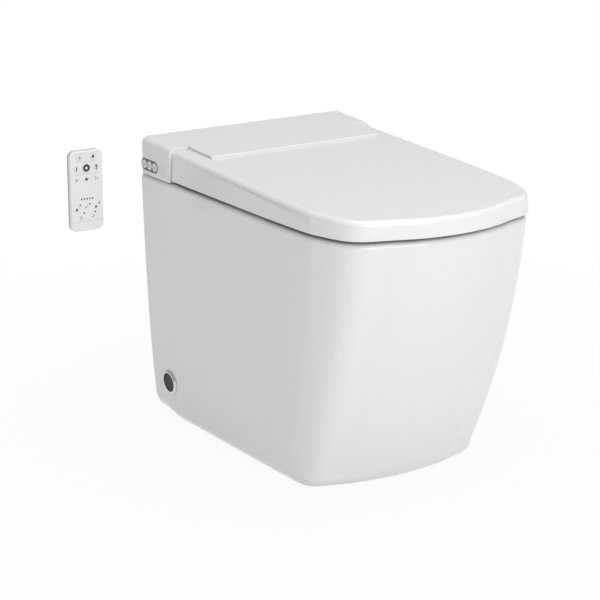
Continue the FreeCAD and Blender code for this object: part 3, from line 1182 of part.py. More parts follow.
def remote_key(x, z, radius):
    front = -REMOTE_FRONT - KEY_PROUD
    cap = key_form(x, z, radius, front, front + KEY_PROUD + REMOTE_WALL + 0.4)
    cap = cap.makeChamfer(0.4, [e for e in cap.Edges if e.BoundBox.YMax < front + 0.1])
    flange = key_form(x, z, radius + 1.0, front + KEY_PROUD + REMOTE_WALL + 0.1,
                      front + KEY_PROUD + REMOTE_WALL + 0.9)
    return join(cap, flange)


def remote_board():
    """Circuit board behind the keys, above the cells."""
    y = -REMOTE_FRONT + REMOTE_WALL + 0.9 + KEY_TRAVEL + 0.3
    return remote_block(REMOTE_WALL + FIT_CLEAR, y, y + 1.0).common(
        box(REMOTE_X - REMOTE_WIDTH, REMOTE_X + REMOTE_WIDTH, y, y + 1.0,
            REMOTE_Z - HATCH_TOP + 2, REMOTE_Z + REMOTE_HEIGHT))


def remote_cells():
    y = -REMOTE_FRONT + REMOTE_WALL + CELL_RADIUS + FIT_CLEAR
    z = REMOTE_Z - REMOTE_HEIGHT / 2 + 6
    cells = []
    for side in (-1, 1):
        x = REMOTE_X + side * (CELL_RADIUS + 0.3)
        can = rod(CELL_RADIUS, Vector(x, y, z), Vector(x, y, z + CELL_LENGTH - 1))
        nub = rod(1.9, Vector(x, y, z), Vector(x, y, z + CELL_LENGTH))
        cells.append(join(can, nub))
    return Part.makeCompound(cells)


def battery_hatch():
    back = -remote_back()
    return remote_tray().common(hatch_box(0, back - HATCH_THICK, back))


def wall_holder():
    """Plate screwed to the wall with a hook that the handset drops over."""
    half_w, half_h = HOLDER_WIDTH / 2, HOLDER_HEIGHT / 2
    plate = box(REMOTE_X - half_w, REMOTE_X + half_w, -HOLDER_PLATE, 0, REMOTE_Z - half_h, REMOTE_Z + half_h)
    plate = rounded(plate, 5, lambda e: spans(e, 1) > 0.5)
    inside = -remote_back() - REMOTE_WALL
    neck = box(REMOTE_X - HOOK_NECK, REMOTE_X + HOOK_NECK, inside - SLIDE_CLEAR - HOOK_THICK,
               -HOLDER_PLATE + 1, HOOK_Z, HOOK_Z + HOOK_HEIGHT)
    head = box(REMOTE_X - HOOK_HEAD, REMOTE_X + HOOK_HEAD, inside - SLIDE_CLEAR - HOOK_THICK,
               inside - SLIDE_CLEAR, HOOK_Z, HOOK_Z + HOOK_HEIGHT)
    pad = box(REMOTE_X - 8, REMOTE_X + 8, -remote_back() + SLIDE_CLEAR, -HOLDER_PLATE + 1,
              REMOTE_Z - 9, REMOTE_Z + 2)
    screws = [rod(HOLDER_SCREW_RADIUS, Vector(REMOTE_X, 1, REMOTE_Z + side * HOLDER_SCREW_SPACING / 2),
                  Vector(REMOTE_X, -9, REMOTE_Z + side * HOLDER_SCREW_SPACING / 2)) for side in (-1, 1)]
    return join(plate, neck, head, pad).cut(screws)


# ---------------------------------------------------------------- assembly

def nodes():
    button_x = -UNIT_HALF - PANEL_PROUD - 0.6
    parts = {
        "ceramic_pan": ceramic_pan(),
        "flush_adapter": flush_adapter(),
        "fixing_rings": pair(fixing_ring()),
        "fixing_caps": pair(fixing_cap()),
        "set_screws": pair(set_screw()),
        "floor_brackets": pair(floor_bracket()),
        "deck_gasket": deck_gasket(),
        "unit_base": unit_base(),
        "unit_bolts": unit_bolts(),
        "unit_nuts": unit_nuts(),
        "rear_cover": rear_cover(),
        "hinge_pins": hinge_pins(),
        "hinge_dampers": dampers(),
        "button_panel": button_panel(),
        "button_board": button_board(),
        "sensor_window": sensor_window(),
        "nozzle_guide": nozzle_guide(),
        "nozzle_motor": nozzle_motor(),
        "nozzle_tube": nozzle_tube(),
        "nozzle_tip": nozzle_tip(),
        "drive_gear": drive_gear(),
        "dryer_housing": dryer_housing(),
        "dryer_fan": dryer_fan(),
        "water_heater": water_heater(),
        "water_inlet_valve": water_inlet_valve(),
        "power_gland": power_gland(),
        "power_module": power_module(),
        "control_board": control_board(),
        "wash_pump": wash_pump(),
        "hoses": hoses(),
        "seat_top": seat_top(),
        "seat_base": seat_base(),
        "seat_heater": seat_heater(),
        "seat_buffers": seat_buffers(),
        "lid_shell": lid_shell(),
        "lid_liner": lid_liner(),
        "lid_buffers": lid_buffers(),
        "wall_holder": wall_holder(),
        "remote_back_shell": remote_back_shell(),
        "remote_front_shell": remote_front_shell(),
        "remote_board": remote_board(),
        "remote_cells": remote_cells(),
        "battery_hatch": battery_hatch(),
    }
    for name, point in zip(("button_rear", "button_middle", "button_front"), button_points(button_x)):
        parts[name] = side_button(point)
    for name, x, z, radius in KEYS:
        parts["remote_" + name] = remote_key(x, z, radius)
    return parts


def main():
    os.makedirs("parts", exist_ok=True)
    for name, shape in nodes().items():
        shape.exportStep("parts/" + name + ".step")
        print(name, "solids", len(shape.Solids), "valid", shape.isValid(), round(shape.Volume))


main()
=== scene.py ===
import math

import bpy
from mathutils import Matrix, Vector


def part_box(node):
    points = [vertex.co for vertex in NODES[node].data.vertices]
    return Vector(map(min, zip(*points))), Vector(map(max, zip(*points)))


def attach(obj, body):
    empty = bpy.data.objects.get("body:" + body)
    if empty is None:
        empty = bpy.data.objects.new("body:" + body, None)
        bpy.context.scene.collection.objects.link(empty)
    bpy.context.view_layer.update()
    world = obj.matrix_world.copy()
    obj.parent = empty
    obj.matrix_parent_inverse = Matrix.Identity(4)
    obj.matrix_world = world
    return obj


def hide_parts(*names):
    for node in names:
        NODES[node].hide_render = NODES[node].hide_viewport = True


# Dressing of a smart toilet: glaze, moulded plastics, metals and rubbers on the solids, the square
# front of pan, seat and lid, the marks on the handset, and the studio round it.
# Metres, +Z up, +Y into the wall.

bl_info = {
    "name": "Smart toilet dressing",
    "version": (1, 0, 0),
    "blender": (4, 5, 0),
    "location": "3D View > Sidebar > Toilet",
    "description": "Finishes, square front, handset marks and studio for the smart toilet",
    "category": "Object",
}

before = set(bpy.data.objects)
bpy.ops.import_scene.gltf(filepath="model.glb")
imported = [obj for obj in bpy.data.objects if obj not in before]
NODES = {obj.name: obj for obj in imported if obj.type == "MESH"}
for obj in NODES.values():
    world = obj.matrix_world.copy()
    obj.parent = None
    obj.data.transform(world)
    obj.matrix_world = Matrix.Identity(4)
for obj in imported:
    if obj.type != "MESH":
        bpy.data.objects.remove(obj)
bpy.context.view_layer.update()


# ---------------------------------------------------------------- sizes and colours

def colour(name, description, default):
    return bpy.props.FloatVectorProperty(
        name=name, description=description, default=default, size=3, subtype="COLOR", min=0.0, max=1.0)


def length(name, description, default):
    return bpy.props.FloatProperty(
        name=name, description=description, default=default, min=0.0, unit="LENGTH", precision=5)


def share(name, description, default):
    return bpy.props.FloatProperty(
        name=name, description=description, default=default, min=0.0, max=1.0, subtype="FACTOR")


def number(name, description, default, low=0.0):
    return bpy.props.FloatProperty(name=name, description=description, default=default, min=low)


def spot_in_room(name, description, default):
    return bpy.props.FloatVectorProperty(
        name=name, description=description, default=default, size=3, subtype="TRANSLATION")


class FinishSettings(bpy.types.PropertyGroup):
    """Colours and gloss of the toilet's surfaces"""
    glaze: colour("Glaze", "Colour of the glazed ceramic", (0.86, 0.86, 0.87))
    glaze_roughness: share("Glaze roughness", "Roughness of the glaze", 0.16)
    shell: colour("Shell plastic", "Colour of cover, seat and lid", (0.87, 0.87, 0.88))
    shell_roughness: share("Shell roughness", "Roughness of cover, seat and lid", 0.22)
    panel: colour("Panel", "Colour of the side panel", (0.07, 0.072, 0.078))
    black: colour("Cap black", "Colour of the fixing caps", (0.012, 0.012, 0.014))
    chrome: colour("Chrome", "Colour of plated rings", (0.62, 0.63, 0.65))
    steel: colour("Steel", "Colour of bright steel", (0.52, 0.53, 0.55))
    handset: colour("Handset white", "Colour of the handset's front half", (0.86, 0.87, 0.88))
    handset_back: colour("Handset grey", "Colour of the handset's rear half", (0.22, 0.225, 0.235))


class MarkSettings(bpy.types.PropertyGroup):
    """Sizes and inks of the marks on buttons, keys and handset"""
    thickness: length("Print thickness", "Height of a printed mark above its surface", 0.00014)
    bevel: length("Print bevel", "Softened rim of a printed mark", 0.00004)
    dark: colour("Dark ink", "Colour of the bold marks", (0.045, 0.047, 0.052))
    grey: colour("Grey ink", "Colour of the lighter marks", (0.17, 0.175, 0.185))
    # The pale ink also draws the line along the handset's seam, which is painted shade of the seam's gap.
    pale: colour("Pale ink", "Colour of the ruled lines", (0.5, 0.505, 0.52))
    ring_outer: length("Ring outer radius", "Outer radius of the ring on the stop key", 0.0059)
    ring_inner: length("Ring inner radius", "Inner radius of the ring on the stop key", 0.0023)
    dot: length("Dot radius", "Radius of a dot on the handset", 0.00135)
    rule_half: length("Rule half length", "Half the length of the ruled lines", 0.018)
    rule_width: length("Rule width", "Width of the ruled lines", 0.00045)
    seam_below: length("Seam place", "Seam below the handset's middle", 0.0488)
    spindle_height: length("Two-headed arrow height", "Height of the arrow on the left key", 0.0076)
    spindle_width: length("Two-headed arrow width", "Width of the arrow on the left key", 0.0028)
    arrow_height: length("Arrow height", "Height of the arrow on the right key", 0.0078)
    arrow_width: length("Arrow width", "Width of the arrow on the right key", 0.0044)
    small_drop: length("Small drop radius", "Radius of the drop on the full flush key", 0.0014)
    large_drop: length("Large drop radius", "Radius of the drop on the half flush key", 0.0021)
    drop_fall: length("Drop place", "How far a drop's round part lies below its key's middle", 0.0010)
    star: length("Star radius", "Radius of the four pointed star", 0.0046)
    button_dot: length("Button centre radius", "Radius of the dark centre of a side button", 0.0022)
    button_dish: length("Button dish depth", "Depth of the dish that the dark centre lies in", 0.00052)
    button_hollow: length("Button centre hollow", "How far the middle of the dark centre is sunk", 0.00012)


class FormSettings(bpy.types.PropertyGroup):
    """Plan form of the front: how square its corners are, how its edges bow, and the roll of the foot"""
    start: length("Front part", "Distance from the wall at which the front part starts", 0.330)
    rim_side_bow: length("Side bow at the rim", "How far a side draws in to the corner at the rim", 0.011)
    rim_front_bow: length("Front bow at the rim", "Bulge of the front edge at the rim", 0.024)
    foot_side_bow: length("Side bow at the floor", "How far a side draws in to the corner at the floor",
                          0.001)
    foot_front_bow: length("Front bow at the floor", "Bulge of the front edge at the floor", 0.013)
    rim_squareness: number("Squareness at the rim", "Tightness of the corners at the rim", 9.8, 2.0)
    foot_squareness: number("Squareness at the floor", "Tightness of the corners at the floor", 8.8, 2.0)
    foot_roll: length("Foot roll", "Radius of the skirt's roll into the floor", 0.026)
    foot_roll_run: length("Roll run", "Distance from the wall over which the roll tightens", 0.070)
    inner: share("Unmoved share", "Part of the plan, from the middle out, that stays as it is", 0.6)
    outer: share("Moved share", "Part of the plan from which the whole shift is made", 0.9)


class StudioSettings(bpy.types.PropertyGroup):
    """Camera, lamps and floor"""
    lens: number("Lens", "Focal length for a 36 mm sensor", 131.77, 1.0)
    azimuth: bpy.props.FloatProperty(name="Azimuth", description="Camera's turn about the vertical",
                                     default=math.radians(-33.03), subtype="ANGLE")
    elevation: bpy.props.FloatProperty(name="Elevation", description="Camera's height angle",
                                       default=math.radians(16.54), subtype="ANGLE")
    place: spot_in_room("Camera place", "Where the camera stands", (-1.8383, -3.0039, 1.2116))
    floor: colour("Floor", "Colour of floor and backdrop", (0.79, 0.79, 0.79))
    floor_size: length("Floor size", "Side of the floor", 30.0)
    floor_near: share("White near", "How much of the floor by the toilet the camera sees as white", 0.93)
    floor_far: share("White far", "The same for the floor further off", 1.0)
    floor_middle: spot_in_room("Floor middle", "Where the white near and far are measured from",
                               (0.0, -0.3, 0.0))
    near_radius: length("Near radius", "Distance up to which the floor is white as near", 0.35)
    far_radius: length("Far radius", "Distance from which the floor is white as far", 1.3)
    key_power: number("Key lamp", "Power of the lamp in front", 32.0)
    key_place: spot_in_room("Key lamp place", "Where the lamp in front stands", (-0.35, -2.9, 1.4))
    key_aim: spot_in_room("Key lamp aim", "Where the lamp in front points", (0.0, -0.3, 0.2))
    key_size: length("Key lamp size", "Side of the lamp in front", 2.0)
    top_power: number("Top lamp", "Power of the lamp overhead", 20.0)
    top_place: spot_in_room("Top lamp place", "Where the lamp overhead hangs", (0.2, -0.6, 2.6))
    top_aim: spot_in_room("Top lamp aim", "Where the lamp overhead points", (0.0, -0.3, 0.3))
    top_size: length("Top lamp size", "Side of the lamp overhead", 1.8)
    surround: number("Surround", "Strength of the light from all round", 0.5)


# ---------------------------------------------------------------- materials

class Finish:
    """One surface finish, built from nodes on Object coordinates."""

    def __init__(self, name):
        self.material = bpy.data.materials.new(name)
        self.material.use_nodes = True
        self.tree = self.material.node_tree
        self.shader = self.tree.nodes["Principled BSDF"]
        self.coordinates = self.tree.nodes.new("ShaderNodeTexCoord").outputs["Object"]

    def set(self, **values):
        for key, value in values.items():
            socket = self.shader.inputs[key.replace("_", " ")]
            socket.default_value = value
        return self

    def link(self, output, target):
        self.tree.links.new(output, target)

    def noise(self, scale, detail=3.0, roughness=0.5, stretch=(1.0, 1.0, 1.0)):
        mapping = self.tree.nodes.new("ShaderNodeMapping")
        mapping.inputs["Scale"].default_value = stretch
        self.link(self.coordinates, mapping.inputs["Vector"])
        node = self.tree.nodes.new("ShaderNodeTexNoise")
        node.inputs["Scale"].default_value = scale
        node.inputs["Detail"].default_value = detail
        node.inputs["Roughness"].default_value = roughness
        self.link(mapping.outputs["Vector"], node.inputs["Vector"])
        return node.outputs["Fac"]

    def between(self, factor, low, high):
        """Maps a 0 to 1 factor to the range from low to high."""
        node = self.tree.nodes.new("ShaderNodeMapRange")
        node.inputs["To Min"].default_value = low
        node.inputs["To Max"].default_value = high
        self.link(factor, node.inputs["Value"])
        return node.outputs["Result"]

    def mix(self, factor, first, second):
        node = self.tree.nodes.new("ShaderNodeMix")
        node.data_type = "RGBA"
        self.link(factor, node.inputs["Factor"])
        for socket, value in ((node.inputs[6], first), (node.inputs[7], second)):
            if hasattr(value, "is_linked"):
                self.link(value, socket)
            else:
                socket.default_value = (*value[:3], 1.0)
        return node.outputs[2]

    def bump(self, height, distance, strength=0.5, under=None):
        node = self.tree.nodes.new("ShaderNodeBump")
        node.inputs["Strength"].default_value = strength
        node.inputs["Distance"].default_value = distance
        self.link(height, node.inputs["Height"])
        if under is not None:
            self.link(under, node.inputs["Normal"])
        return node.outputs["Normal"]

    def colour(self, output):
        self.link(output, self.shader.inputs["Base Color"])

    def roughness(self, output):
        self.link(output, self.shader.inputs["Roughness"])

    def normal(self, output):
        self.link(output, self.shader.inputs["Normal"])


def darker(value, amount):
    return tuple(channel * amount for channel in value[:3])


def glaze(settings):
    """Fired glaze: a deep gloss, slow waves from the mould and a faint dusting of tone."""
    finish = Finish("glazed_ceramic")
    base = settings.glaze
    finish.set(Coat_Weight=0.6, Coat_Roughness=0.04, IOR=1.52)
    finish.colour(finish.mix(finish.noise(6.0, 3.0), darker(base, 0.985), base))
    finish.roughness(finish.between(finish.noise(35.0, 2.0), settings.glaze_roughness - 0.03,
                                    settings.glaze_roughness + 0.04))
    waves = finish.bump(finish.noise(9.0, 1.0), 0.0016, 0.06)
    finish.normal(finish.bump(finish.noise(900.0, 2.0), 0.00004, 0.2, waves))
    return finish.material


def moulded(name, base, roughness, coat=0.3, grain=1400.0, depth=0.00002):
    """Injection moulded plastic with fine orange peel."""
    finish = Finish(name)
    finish.set(Coat_Weight=coat, Coat_Roughness=0.08, IOR=1.49)
    finish.colour(finish.mix(finish.noise(11.0, 2.0), darker(base, 0.985), base))
    finish.roughness(finish.between(finish.noise(70.0, 3.0), roughness - 0.03, roughness + 0.04))
    finish.normal(finish.bump(finish.noise(grain, 2.0), depth, 0.25))
    return finish.material


def textured(name, base, roughness=0.55, grain=2200.0):
    """Unpolished plastic with a spark-eroded grain."""
    finish = Finish(name)
    finish.set(IOR=1.46)
    finish.colour(finish.mix(finish.noise(60.0, 4.0), darker(base, 0.9), base))
    finish.roughness(finish.between(finish.noise(300.0, 3.0), roughness - 0.06, roughness + 0.08))
    finish.normal(finish.bump(finish.noise(grain, 3.0), 0.00006, 0.4))
    return finish.material


def rubber(name, base):
    finish = Finish(name)
    finish.set(IOR=1.5)
    finish.colour(finish.mix(finish.noise(120.0, 5.0), darker(base, 0.85), base))
    finish.roughness(finish.between(finish.noise(200.0, 4.0), 0.62, 0.8))
    finish.normal(finish.bump(finish.noise(1500.0, 4.0), 0.00008, 0.5))
    return finish.material


def brushed(name, base, roughness=0.28, stretch=(1.0, 1.0, 0.06)):
    """Metal with fine scratches along one direction."""
    finish = Finish(name)
    finish.set(Metallic=1.0)
    scratches = finish.noise(1800.0, 3.0, 0.6, stretch)
    finish.colour(finish.mix(scratches, darker(base, 0.86), base))
    finish.roughness(finish.between(scratches, roughness - 0.06, roughness + 0.1))
    finish.normal(finish.bump(scratches, 0.00003, 0.35))
    return finish.material


def plated(settings):
    """Chrome plate with a slight haze."""
    finish = Finish("chrome_plate")
    finish.set(Metallic=1.0)
    finish.colour(finish.mix(finish.noise(50.0, 2.0), darker(settings.chrome, 0.95), settings.chrome))
    finish.roughness(finish.between(finish.noise(160.0, 4.0), 0.05, 0.12))
    finish.normal(finish.bump(finish.noise(400.0, 2.0), 0.00002, 0.1))
    return finish.material


def galvanised(name, base):
    """Zinc coat with its crystal patches."""
    finish = Finish(name)
    finish.set(Metallic=1.0)
    patches = finish.tree.nodes.new("ShaderNodeTexVoronoi")
    patches.inputs["Scale"].default_value = 160.0
    finish.link(finish.coordinates, patches.inputs["Vector"])
    tone = finish.tree.nodes.new("ShaderNodeSeparateColor")
    finish.link(patches.outputs["Color"], tone.inputs["Color"])
    finish.colour(finish.mix(tone.outputs["Red"], darker(base, 0.75), base))
    finish.roughness(finish.between(tone.outputs["Green"], 0.32, 0.55))
    finish.normal(finish.bump(tone.outputs["Blue"], 0.00005, 0.15))
    return finish.material


def circuit_board(name):
    """Green solder mask over copper tracks."""
    finish = Finish(name)
    finish.set(Coat_Weight=0.4, IOR=1.5)
    tracks = finish.tree.nodes.new("ShaderNodeTexBrick")
    tracks.inputs["Scale"].default_value = 160.0
    tracks.inputs["Mortar Size"].default_value = 0.06
    tracks.inputs["Color1"].default_value = (0.01, 0.1, 0.045, 1.0)
    tracks.inputs["Color2"].default_value = (0.012, 0.125, 0.055, 1.0)
    tracks.inputs["Mortar"].default_value = (0.03, 0.2, 0.09, 1.0)
    finish.link(finish.coordinates, tracks.inputs["Vector"])
    finish.colour(tracks.outputs["Color"])
    finish.roughness(finish.between(finish.noise(90.0), 0.3, 0.42))
    finish.normal(finish.bump(tracks.outputs["Fac"], 0.00004, 0.4))
    return finish.material


def give(material, *names):
    """Puts the material on CAD nodes."""
    for name in names:
        slots = NODES[name].data.materials
        slots.clear()
        slots.append(material)


def ink(name, base):
    """Screen print: matt, a little uneven, with a fine grain."""
    finish = Finish(name)
    finish.set(IOR=1.45)
    finish.colour(finish.mix(finish.noise(900.0, 3.0), darker(base, 0.82), base))
    finish.roughness(finish.between(finish.noise(1600.0, 2.0), 0.42, 0.6))
    finish.normal(finish.bump(finish.noise(4000.0, 2.0), 0.00001, 0.2))
    return finish.material


# ---------------------------------------------------------------- modelling helpers

FACING = (math.pi / 2, 0.0, 0.0)    # turns a flat primitive to look out along -Y
NEAR_EDGE = 0.49                    # of a plane's size from its middle, so only its edge lies beyond
MARK_SHARP = math.radians(35.0)


def clear_selection():
    if bpy.context.object is not None and bpy.context.object.mode != "OBJECT":
        bpy.ops.object.mode_set(mode="OBJECT")
    bpy.ops.object.select_all(action="DESELECT")


def choose(obj, kind, test):
    """Selects, in edit mode, the vertices, edges or faces whose middle passes the test."""
    bpy.ops.object.mode_set(mode="EDIT")
    bpy.ops.mesh.select_mode(type=kind)
    bpy.ops.mesh.select_all(action="DESELECT")
    bpy.ops.object.mode_set(mode="OBJECT")
    mesh = obj.data
    for item in {"VERT": mesh.vertices, "EDGE": mesh.edges, "FACE": mesh.polygons}[kind]:
        corners = [item.co] if kind == "VERT" else [mesh.vertices[i].co for i in item.vertices]
        middle = sum((Vector(corner) for corner in corners), Vector()) / len(corners)
        item.select = test(obj.matrix_world @ middle)
    bpy.ops.object.mode_set(mode="EDIT")


def rest_at_origin(obj):
    """Leaves the object at the origin, unturned and unscaled, with its place in its mesh."""
    bpy.ops.object.mode_set(mode="OBJECT")
    bpy.ops.object.transform_apply(location=True, rotation=True, scale=True)


def raised(obj, settings):
    """Gives a flat mark its thickness and a softened rim."""
    bpy.ops.object.mode_set(mode="OBJECT")
    solid = obj.modifiers.new("solid", "SOLIDIFY")
    solid.thickness = settings.thickness
    solid.offset = 1.0
    bpy.ops.object.modifier_apply(modifier=solid.name)
    rim = obj.modifiers.new("rim", "BEVEL")
    rim.width = settings.bevel
    rim.segments = 1
    rim.limit_method = "ANGLE"
    bpy.ops.object.modifier_apply(modifier=rim.name)
    rest_at_origin(obj)
    return obj


def dot_mark(settings, place, radius, sides=20):
    clear_selection()
    bpy.ops.mesh.primitive_circle_add(vertices=sides, radius=radius, fill_type="NGON", location=place,
                                      rotation=FACING)
    obj = bpy.context.object
    bpy.ops.object.mode_set(mode="EDIT")
    bpy.ops.mesh.select_all(action="SELECT")
    bpy.ops.mesh.inset(thickness=radius * 0.35)
    return raised(obj, settings)


def drop_mark(settings, place, radius):
    """Drop with its point up."""
    clear_selection()
    bpy.ops.mesh.primitive_circle_add(vertices=20, radius=radius, fill_type="NGON", location=place,
                                      rotation=FACING)
    obj = bpy.context.object
    choose(obj, "VERT", lambda p: p.z > place[2] + radius * 0.99)
    bpy.ops.transform.translate(value=(0.0, 0.0, radius * 1.25))
    choose(obj, "VERT", lambda p: place[2] + radius * 0.9 < p.z < place[2] + radius * 1.2)
    bpy.ops.transform.translate(value=(0.0, 0.0, radius * 0.25))
    return raised(obj, settings)


def ring_mark(settings, place, outer, inner):
    clear_selection()
    bpy.ops.mesh.primitive_circle_add(vertices=64, radius=outer, fill_type="NGON", location=place,
                                      rotation=FACING)
    obj = bpy.context.object
    bpy.ops.object.mode_set(mode="EDIT")
    bpy.ops.mesh.select_all(action="SELECT")
    bpy.ops.mesh.inset(thickness=outer - inner)
    bpy.ops.mesh.delete(type="FACE")
    return raised(obj, settings)


def bar_mark(settings, start, end, width):
    """Bar with round ends between two places on a face."""
    clear_selection()
    a, b = Vector(start), Vector(end)
    run = b - a
    turn = math.atan2(run.z, run.x)
    bpy.ops.mesh.primitive_plane_add(size=width, location=(a + b) / 2, rotation=(math.pi / 2, -turn, 0.0))
    obj = bpy.context.object
    ends = ((b, run.normalized()), (a, -run.normalized()))
    for end_place, outward in ends:
        choose(obj, "EDGE", lambda p: (p - (a + b) / 2).dot(outward) > width * NEAR_EDGE)
        bpy.ops.transform.translate(value=outward * (run.length / 2 - width / 2))
        for step, reach, narrow in ((0.35, 0.35, 0.75), (0.12, 0.47, 0.45)):
            bpy.ops.mesh.extrude_region_move(
                TRANSFORM_OT_translate={"value": outward * width * step})
            tip = end_place + outward * width * reach
            bpy.ops.transform.resize(value=(narrow, 1.0, narrow), center_override=tip)
    return raised(obj, settings)


def arrow_mark(settings, place, height, width, both_ways=False):
    """Upright arrow: a shaft with a head, or with a head at both ends."""
    clear_selection()
    shaft, neck = width * 0.34, height * 0.12
    bpy.ops.mesh.primitive_plane_add(size=shaft, location=place, rotation=FACING)
    obj = bpy.context.object
    for side in ((1.0, -1.0) if both_ways else (1.0,)):
        choose(obj, "EDGE", lambda p: (p.z - place[2]) * side > shaft * NEAR_EDGE)
        bpy.ops.mesh.extrude_region_move(TRANSFORM_OT_translate={"value": (0.0, 0.0, side * neck)})
        middle = (place[0], place[1], place[2] + side * (shaft / 2 + neck))
        bpy.ops.transform.resize(value=(width / shaft, 1.0, 1.0), center_override=middle)
        bpy.ops.mesh.extrude_region_move(
            TRANSFORM_OT_translate={"value": (0.0, 0.0, side * (height * 0.5 - shaft / 2 - neck))})
        bpy.ops.transform.resize(value=(0.08, 1.0, 1.0), center_override=middle)
    if not both_ways:
        choose(obj, "EDGE", lambda p: p.z - place[2] < -shaft * NEAR_EDGE)
        bpy.ops.mesh.extrude_region_move(
            TRANSFORM_OT_translate={"value": (0.0, 0.0, shaft / 2 - height * 0.5)})
    return raised(obj, settings)


def star_mark(settings, place, radius, turn):
    """Four pointed star."""
    clear_selection()
    bpy.ops.mesh.primitive_circle_add(vertices=8, radius=radius, fill_type="NGON", location=place,
                                      rotation=(math.pi / 2, -turn, 0.0))
    obj = bpy.context.object
    points = [turn + math.pi / 2 * k for k in range(4)]

    def is_waist(p):
        angle = math.atan2(p.z - place[2], p.x - place[0])
        return all(math.cos(angle - point) < 0.9 for point in points)
    choose(obj, "VERT", is_waist)
    bpy.ops.transform.resize(value=(0.36, 1.0, 0.36), center_override=place)
    return raised(obj, settings)


def arc_mark(settings, place, radius, width, start, sweep):
    """Part of a ring, from one angle round to another."""
    clear_selection()
    bpy.ops.mesh.primitive_circle_add(vertices=48, radius=radius + width / 2, fill_type="NGON",
                                      location=place, rotation=FACING)
    obj = bpy.context.object
    bpy.ops.object.mode_set(mode="EDIT")
    bpy.ops.mesh.select_all(action="SELECT")
    bpy.ops.mesh.inset(thickness=width)
    bpy.ops.mesh.delete(type="FACE")

    def is_outside(p):
        return (math.atan2(p.z - place[2], p.x - place[0]) - start) % (2 * math.pi) > sweep
    choose(obj, "FACE", is_outside)
    bpy.ops.mesh.delete(type="FACE")
    return raised(obj, settings)


def joined(name, marks, material, body):
    """Joins marks into one piece with its finish, and lets it ride on its body."""
    clear_selection()
    for mark in marks:
        mark.select_set(True)
    bpy.context.view_layer.objects.active = marks[0]
    if len(marks) > 1:
        bpy.ops.object.join()
    piece = bpy.context.object
    piece.name = name
    piece.data.name = name
    bpy.ops.object.shade_smooth_by_angle(angle=MARK_SHARP)
    piece.data.materials.clear()
    piece.data.materials.append(material)
    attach(piece, body)
    return piece


def middle_of(node):
    low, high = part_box(node)
    return (Vector(low) + Vector(high)) / 2


def front_of(node):
    """The y of a node's face that looks away from the wall."""
    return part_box(node)[0][1]


# ---------------------------------------------------------------- plan form of the front

# The solids' plan, from the rim down to the floor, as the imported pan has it.
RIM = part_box("ceramic_pan")[1][2]
HALF_AT_RIM, HALF_TAPER = 0.1871, 0.0238            # half width, and how far it draws in
REACH_AT_RIM, REACH_TAPER = 0.596, 0.134            # wall to front, and how far it draws in
HALF_STRAIGHT, HALF_CURVED = 0.47, 0.53             # shares of the draw-in, of the fall and its cube
REACH_STRAIGHT, REACH_CURVED = 0.42, 0.58           # shares of the draw-in, of the fall and its square
CORNER_AT_RIM, CORNER_AT_FLOOR = 0.096, 0.058       # plan radius of the front corners
BOW_AT_RIM, BOW_AT_FLOOR = 0.014, 0.019             # bulge of the front edge
ROLL_OF_SOLID = 0.043                               # roll of the skirt into the floor
SIDE_LEAN, FRONT_LEAN = 0.12, 0.52                  # outward lean per height, just above the floor
LID_EDGE, LID_DEPTH, LID_FALL = RIM + 0.006, 0.030, 0.0403      # lower edge, depth and fall of the lid

# Where the copies are cut finer.
MERGE = 0.000002
UNCUT_BEHIND = 0.02         # faces this far behind the front part stay whole
UNCUT_MIDDLE = 0.1          # and those within this distance of its middle
UNCUT_UNDER = 0.09          # half width of the foot's middle, which stays whole
COARSE_CUTS = [0.012 * k for k in range(1, 6)]                  # ahead of the front part's start
FINE_CUTS = [0.396 + 0.006 * k for k in range(34)]              # from the wall
SIDE_CUTS = [0.03, 0.06, 0.085] + [0.1 + 0.006 * k for k in range(15)]      # from the middle
SHARP = math.radians(32.0)


def roll_in(height, radius, lean):
    """How far the roll into the floor stands inside a wall that leans out by this much per height."""
    tilt = math.atan(lean)
    inset = radius * math.tan(math.pi / 4 - tilt / 2)
    if height >= inset * math.cos(tilt):
        return 0.0
    return height * lean + inset - math.sqrt(max(radius ** 2 - (radius - height) ** 2, 0.0))


def solid_outline(angle, half, reach, corner, bow, start):
    """Distance from the front part's middle to the solids' outline, at an angle from the side."""
    front_radius = (half ** 2 + bow ** 2) / (2 * bow)
    across = half - corner
    along = reach - front_radius + math.sqrt((front_radius - corner) ** 2 - across ** 2) - start
    c, s = math.cos(angle), math.sin(angle)
    side = half / max(c, 1e-6)
    if side * s < along:
        return side
    drop = reach - front_radius - start
    front = s * drop + math.sqrt((s * drop) ** 2 - drop ** 2 + front_radius ** 2)
    if front * c < across * front_radius / (front_radius - corner):
        return front
    middle = c * across + s * along
    return middle + math.sqrt(max(middle ** 2 - across ** 2 - along ** 2 + corner ** 2, 0.0))


def square_outline(angle, half, length_ahead, side_bow, front_bow, squareness):
    """The same for the squarer outline: bowed side and bowed front, blended into a tight corner."""
    c, s = math.cos(angle), math.sin(angle)

    def bowed(curve, straight, width):
        curve = max(curve, 1e-9)
        return (math.sqrt(straight ** 2 + 4 * curve * width) - straight) / (2 * curve)
    side = bowed(side_bow * s * s / length_ahead ** 2, c, half)
    front = bowed(front_bow * c * c / half ** 2, s, length_ahead)
    return (side ** -squareness + front ** -squareness) ** (-1.0 / squareness)


def eased(value):
    """0 to 1 with a soft start and end, held outside that range."""
    value = min(max(value, 0.0), 1.0)
    return value * value * (3.0 - 2.0 * value)


